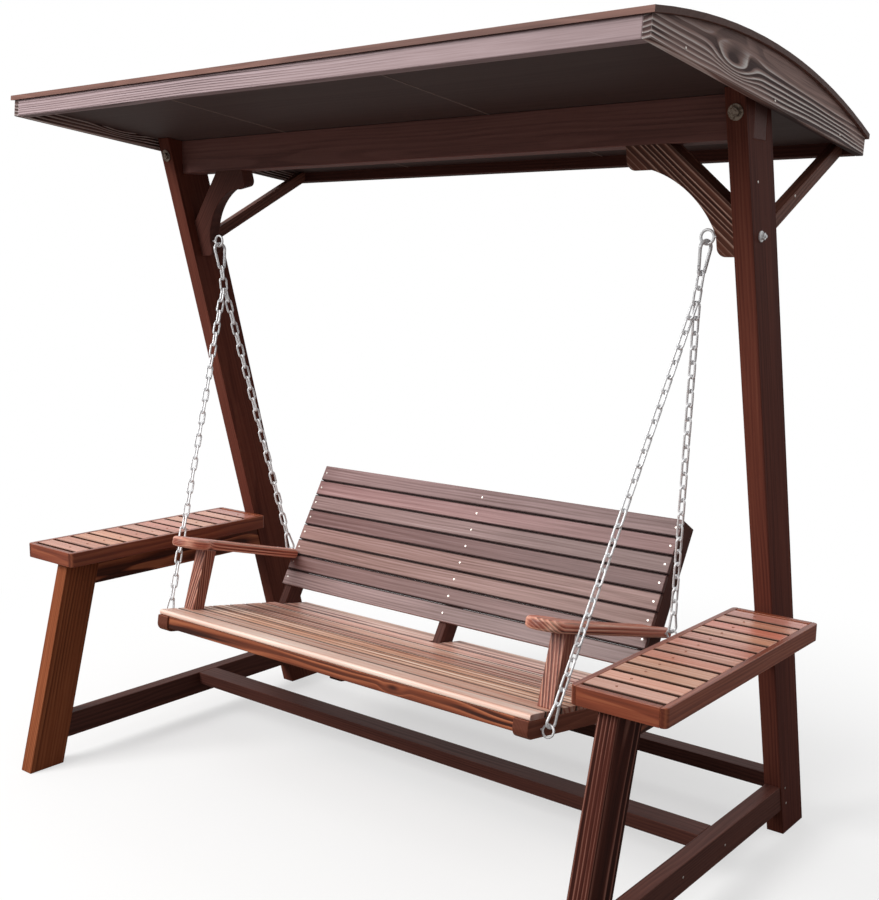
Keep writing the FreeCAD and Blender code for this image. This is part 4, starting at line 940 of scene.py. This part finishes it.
@dataclass
class Canopy:
    """The roof: gables, fascias, ceiling and curved sheet."""

    pitch: float = 5.8
    middle: Place = (0.0, 0.048, 1.934)
    ceiling_height: float = 32 * MM
    inner_half_depth: float = 551 * MM
    inner_half_width: float = 1030 * MM
    panel_width: float = 757 * MM
    seam: float = 3 * MM
    bead_width: float = 5 * MM
    bead_depth: float = 1.6 * MM
    bead_rounding: float = 0.9
    beam_front_y: float = 24 * MM
    beam_rear_y: float = 92 * MM
    gable_outer_x: float = 1050 * MM
    gable_nails: tuple[tuple[float, float], ...] = ((0.0455, 1.9466), (-0.39, 1.995), (0.45, 1.912))

    def seams(self) -> list[float]:
        """Where the ceiling's seams are along X, in metres."""
        step = self.panel_width + self.seam
        return [self.inner_half_width - step * number + self.seam / 2 for number in (1, 2)]

    def dress(self) -> None:
        """Gives the roof's boards their timber."""
        turn = (self.pitch, 0.0, 0.0)
        swirl = Knot((0.0, -215.0, 34.0), 46.0)
        fade = Fade(Axis.Z, 8.0, 44.0, -0.12)
        for side, hand in (("left", -1), ("right", 1)):
            lie = Lie(Axis.Y, turn, (hand * 20.0, 0.0, -60.0), knot=swirl, fade=fade)
            dress_board(f"{side}_gable_board", GABLE_WOOD, lie)
        smooth_end = Fade(Axis.X, -300.0, 600.0)
        dress_board("front_fascia", FASCIA_WOOD, Lie(Axis.X, turn, (0.0, 30.0, -110.0), fade=smooth_end))
        dress_board("rear_fascia", FRAME_WOOD, Lie(Axis.X, turn, (0.0, 36.0, 50.0)))
        dress_board("ceiling_panels", CEILING_WOOD, Lie(Axis.X, turn, (0.0, 0.0, 90.0)))
        dress_board("roof_ribs", FRAME_WOOD, Lie(Axis.Y, turn))
        dress_board("roof_sheet", ROOF_WOOD, Lie(Axis.X, turn, (0.0, 160.0, 200.0)))

    def on_ceiling(self, x: float, along: float) -> Vector:
        """A point of the ceiling's underside.

        Args:
            x: Where it is across the roof.
            along: How far back it is along the slope.

        Returns:
            The point, in metres.
        """
        lean = math.radians(self.pitch)
        back = along * math.cos(lean) + self.ceiling_height * math.sin(lean)
        up = self.ceiling_height * math.cos(lean) - along * math.sin(lean)
        return Vector(self.middle) + Vector((x, back, up))

    def bead(self, name: str, x: float, start: float, end: float, material: bpy.types.Material) -> None:
        """Models a half-round bead that covers a stretch of a ceiling seam.

        Args:
            name: The bead's name.
            x: The seam's place across the roof.
            start: Where the stretch begins along the slope.
            end: Where it ends.
            material: The bead's material.
        """
        only_selected(None)
        bpy.ops.mesh.primitive_cube_add(
            size=1.0, location=self.on_ceiling(x, (start + end) / 2),
            rotation=(-math.radians(self.pitch), 0, 0))
        strip = bpy.context.object
        strip.scale = (self.bead_width, end - start, self.bead_depth * 2)
        bpy.ops.object.transform_apply(location=False, rotation=False, scale=True)
        select_faces(strip, lambda face: face.normal.z < -0.9)
        bpy.ops.mesh.bevel(offset=self.bead_depth * self.bead_rounding, segments=3, affect="EDGES")
        bpy.ops.object.mode_set(mode="OBJECT")
        finished(strip, name, material, "frame")

    def build(self) -> None:
        """Covers the ceiling's seams with beads, in front of the beam and behind it, and nails the gables."""
        lie = Lie(Axis.Y, (self.pitch, 0.0, 0.0))
        wood = TimberShader("seam_bead", BEAD_WOOD, lie, Vector(self.middle)).build()
        for name, x in zip(("right", "left"), self.seams()):
            front_end = self.beam_front_y - self.middle[1]
            rear_start = self.beam_rear_y - self.middle[1]
            self.bead(f"{name}_front_seam_bead", x, -self.inner_half_depth, front_end, wood)
            self.bead(f"{name}_rear_seam_bead", x, rear_start, self.inner_half_depth, wood)
        steel = NAIL_STEEL.material()
        for side, hand in (("left", -1), ("right", 1)):
            places = [Vector((hand * self.gable_outer_x, y, z)) for y, z in self.gable_nails]
            NailHead().set(f"{side}_gable_nail_heads", places, Vector((hand, 0, 0)), steel, "frame")


@dataclass
class Bench:
    """The hanging bench: seat, back and armrests."""

    seat_tilt: float = 9.2
    back_tip: float = 30.1
    arm_tip: float = 14.3
    seat_front: Place = (0.0, -0.3315, 0.520)
    seat_count: int = 8
    seat_pitch: float = 72 * MM
    seat_gap: float = 7 * MM
    back_start: float = 495 * MM
    back_lift: float = 70 * MM
    back_count: int = 8
    back_pitch: float = 55.6 * MM
    back_gap: float = 3 * MM

    def dress(self) -> None:
        """Gives each part of the bench its timber."""
        seat_turn = (self.seat_tilt, 0.0, 0.0)
        back_turn = (self.back_tip, 0.0, 0.0)
        tilt = Matrix.Rotation(-math.radians(self.seat_tilt), 3, "X")
        tip = Matrix.Rotation(-math.radians(self.back_tip), 3, "X")
        seat_datum = Vector(self.seat_front) - tilt @ Vector((0, self.seat_gap / 2, 0))
        seat_row = Row(seat_datum, self.seat_count, self.seat_pitch, self.seat_gap, Axis.Y, 3.0)
        # Painted sheen: the seat's front is paler, and its lines fade there.
        painted_sheen_front = Fade(Axis.Y, 170.0, 60.0, 0.22)
        seat_lie = Lie(Axis.X, seat_turn, (0.0, 90.0, 25.0), seat_row, fade=painted_sheen_front)
        dress_board("seat_slats", SEAT_WOOD, seat_lie)
        back_foot = Vector(self.seat_front) + tilt @ Vector((0, self.back_start, 0))
        back_datum = back_foot + tip @ Vector((0, 0, self.back_lift - self.back_gap / 2))
        back_row = Row(back_datum, self.back_count, self.back_pitch, self.back_gap, Axis.Z, 4.5)
        # Painted shade: the back's right end is darker, and its lines fade there.
        painted_shade_end = Fade(Axis.X, -100.0, 700.0, -0.22)
        back_lie = Lie(Axis.X, back_turn, (0.0, 55.0, 20.0), back_row, fade=painted_shade_end)
        dress_board("back_slats", BACK_WOOD, back_lie)
        apron_knot = Knot((262.0, -12.0, 2.0), 18.0)
        dress_board("front_apron", APRON_WOOD, Lie(Axis.X, seat_turn, (0.0, 34.0, 26.0), knot=apron_knot))
        dress_board("rear_seat_rail", FRAME_WOOD, Lie(Axis.X, seat_turn, (0.0, 40.0, 30.0)))
        dress_board("seat_centre_rail", FRAME_WOOD, Lie(Axis.Y, seat_turn, (40.0, 0.0, 30.0)))
        dress_board("middle_back_stile", FRAME_WOOD, Lie(Axis.Z, back_turn, (35.0, 40.0, 0.0)))
        arm_turn = (self.arm_tip, 0.0, 0.0)
        for side, hand in (("left", -1), ("right", 1)):
            dress_board(f"{side}_seat_rail", SEAT_RAIL_WOOD, Lie(Axis.Y, seat_turn, (hand * 44.0, 0.0, 30.0)))
            dress_board(f"{side}_back_stile", FRAME_WOOD, Lie(Axis.Z, back_turn, (hand * 38.0, 45.0, 0.0)))
            dress_board(f"{side}_arm_post", ARM_WOOD, Lie(Axis.Z, seat_turn, (hand * 90.0, 110.0, 0.0)))
            dress_board(f"{side}_armrest", ARMREST_WOOD, Lie(Axis.Y, arm_turn, (hand * 40.0, 0.0, 90.0)))
        dress("bench_nails", NAIL_STEEL.material())


@dataclass
class Hardware:
    """Eyes, hooks, chains, gates and bolts."""

    sides: tuple[str, ...] = ("left", "right")
    runs: tuple[str, ...] = ("top", "front", "rear")

    def dress(self) -> None:
        """Gives every metal piece its plating."""
        zinc = CHAIN_ZINC.material()
        dress("snap_hooks", zinc)
        dress("seat_eyes", zinc)
        dress("beam_bolts", AGED_STEEL.material())
        for side in self.sides:
            dress(f"{side}_hanger_eye", zinc)
            for run in self.runs:
                dress(f"{side}_{run}_chain", zinc)
                dress(f"{side}_{run}_gate", zinc)


# Stage, light and camera


@dataclass
class Studio:
    """A pale floor, soft light from the front left, and the camera at the photograph's angle."""

    picture: tuple[float, float] = (879.0, 900.0)
    focal_px: float = 1194.4
    principal_px: tuple[float, float] = (439.0, 495.8)
    camera_place: Place = (2.2068, -2.6010, 1.5552)
    yaw: float = 38.44
    tilt: float = -10.52
    roll: float = 0.83
    sensor_mm: float = 36.0
    clip_end: float = 200.0
    floor_size: float = 80.0
    floor_drop: float = 0.5 * MM
    floor_colour: str = "#f6f5f4"
    floor_bounce: str = "#8c8987"
    white_start: float = 0.6
    white_end: float = 3.0
    least_white: float = 0.5
    horizon: float = 0.06
    zenith: float = 0.75
    back_glow: float = 0.6
    sky_range: tuple[float, float] = (0.05, 0.7)
    glow_range: tuple[float, float] = (0.3, 0.9)
    key_energy: float = 560.0
    key_place: Place = (-3.0, -5.8, 5.2)
    key_size: float = 4.0
    aim: Place = (0.0, 0.0, 0.9)

    def lay_floor(self) -> None:
        """Lays a wide pale floor just under the feet, which runs out into white."""
        only_selected(None)
        bpy.ops.mesh.primitive_plane_add(size=self.floor_size, location=(0, 0, -self.floor_drop))
        floor = bpy.context.object
        floor.name = "floor"
        material, tree = new_material("pale_matt_floor")
        coordinates = add_node(tree, "TexCoord").outputs["Object"]
        # Only the camera sees the floor this pale: in the gloss of dark timber it would look grey.
        shown = add_node(tree, "LightPath").outputs["Is Camera Ray"]
        colour = add_node(tree, "Mix", {
            "Factor": shown, 6: linear(self.floor_bounce), 7: linear(self.floor_colour)},
            data_type="RGBA").outputs[2]
        matt = add_node(tree, "BsdfDiffuse", {"Color": colour, "Roughness": 0.5}).outputs["BSDF"]
        white = add_node(tree, "Emission", {"Color": linear("#ffffff"), "Strength": 1.0}).outputs["Emission"]
        distance = add_node(tree, "VectorMath", {0: coordinates}, operation="LENGTH").outputs["Value"]
        away = add_node(tree, "MapRange", {
            "Value": distance, "From Min": self.white_start, "From Max": self.white_end,
            "To Min": self.least_white}, interpolation_type="SMOOTHSTEP").outputs["Result"]
        far = add_node(tree, "Math", {0: away, 1: shown}, operation="MULTIPLY").outputs[0]
        surface = add_node(tree, "MixShader", {0: far, 1: matt, 2: white}).outputs[0]
        add_node(tree, "OutputMaterial", {"Surface": surface})
        floor.data.materials.append(material)

    def light(self) -> None:
        """Sets a sky that is bright above and behind, and white where it is seen, and hangs a lamp."""
        world = bpy.data.worlds.new("studio")
        bpy.context.scene.world = world
        world.use_nodes = True
        tree = world.node_tree
        tree.nodes.clear()
        direction = add_node(tree, "TexCoord").outputs["Generated"]
        parts = add_node(tree, "SeparateXYZ", {"Vector": direction}).outputs
        behind = add_node(tree, "MapRange", {
            "Value": parts["Y"], "From Min": self.glow_range[0], "From Max": self.glow_range[1],
            "To Min": 0.0, "To Max": self.back_glow}).outputs["Result"]
        sky = add_node(tree, "MapRange", {
            "Value": parts["Z"], "From Min": self.sky_range[0], "From Max": self.sky_range[1],
            "To Min": self.horizon, "To Max": self.zenith}).outputs["Result"]
        rays = add_node(tree, "LightPath").outputs
        mirrored = add_node(tree, "Math", {
            0: rays["Is Glossy Ray"], 1: rays["Is Transmission Ray"]}, operation="MAXIMUM").outputs[0]
        shown = add_node(tree, "Math", {
            0: rays["Is Camera Ray"], 1: mirrored}, operation="MAXIMUM").outputs[0]
        sky = add_node(tree, "Math", {0: sky, 1: behind}, operation="MAXIMUM").outputs[0]
        strength = add_node(tree, "Math", {0: sky, 1: shown}, operation="MAXIMUM").outputs[0]
        light = add_node(tree, "Background", {"Color": linear("#ffffff"), "Strength": strength})
        add_node(tree, "OutputWorld", {"Surface": light.outputs["Background"]})
        self.lamp("key_light", self.key_place, self.key_size, self.key_energy)

    def lamp(self, name: str, place: Place, size: float, energy: float) -> None:
        """Hangs one square soft lamp, aimed at the object.

        Args:
            name: The lamp's name.
            place: Where it hangs, in metres.
            size: Its side, in metres.
            energy: Its power, in watts.
        """
        data = bpy.data.lights.new(name, "AREA")
        data.size = size
        data.energy = energy
        lamp = bpy.data.objects.new(name, data)
        bpy.context.scene.collection.objects.link(lamp)
        lamp.location = place
        lamp.rotation_euler = (Vector(self.aim) - Vector(place)).to_track_quat("-Z", "Y").to_euler()

    def place_camera(self) -> None:
        """Puts the camera where the photograph was taken from."""
        yaw, tilt, roll = (math.radians(angle) for angle in (self.yaw, self.tilt, self.roll))
        ahead = Vector((-math.sin(yaw) * math.cos(tilt), math.cos(yaw) * math.cos(tilt), math.sin(tilt)))
        right = Vector((math.cos(yaw), math.sin(yaw), 0.0))
        up = right.cross(ahead)
        rolled_right = right * math.cos(roll) + up * math.sin(roll)
        rolled_up = up * math.cos(roll) - right * math.sin(roll)
        data = bpy.data.cameras.new("photo_camera")
        wide, high = self.picture
        data.sensor_fit = "HORIZONTAL"
        data.sensor_width = self.sensor_mm
        data.lens = self.focal_px * self.sensor_mm / wide
        data.shift_x = (wide / 2 - self.principal_px[0]) / wide
        data.shift_y = (self.principal_px[1] - high / 2) / wide
        data.clip_end = self.clip_end
        camera = bpy.data.objects.new("photo_camera", data)
        bpy.context.scene.collection.objects.link(camera)
        turn = Matrix((rolled_right, rolled_up, -ahead)).transposed().to_4x4()
        camera.matrix_world = Matrix.Translation(Vector(self.camera_place)) @ turn
        bpy.context.scene.camera = camera

    def set_up(self) -> None:
        """Sets floor, light, camera and colour view."""
        self.lay_floor()
        self.light()
        self.place_camera()
        bpy.context.scene.view_settings.view_transform = "Standard"


def main() -> None:
    """Builds and dresses each sub-assembly, then sets the stage."""
    logging.basicConfig(level=logging.INFO, format="%(name)s: %(message)s")
    canopy = Canopy()
    for assembly in (LowerFrame(), SideTables(), BeamAndBraces(), canopy, Bench(), Hardware()):
        assembly.dress()
    canopy.build()
    Studio().set_up()


if __name__ == "__main__":
    main()
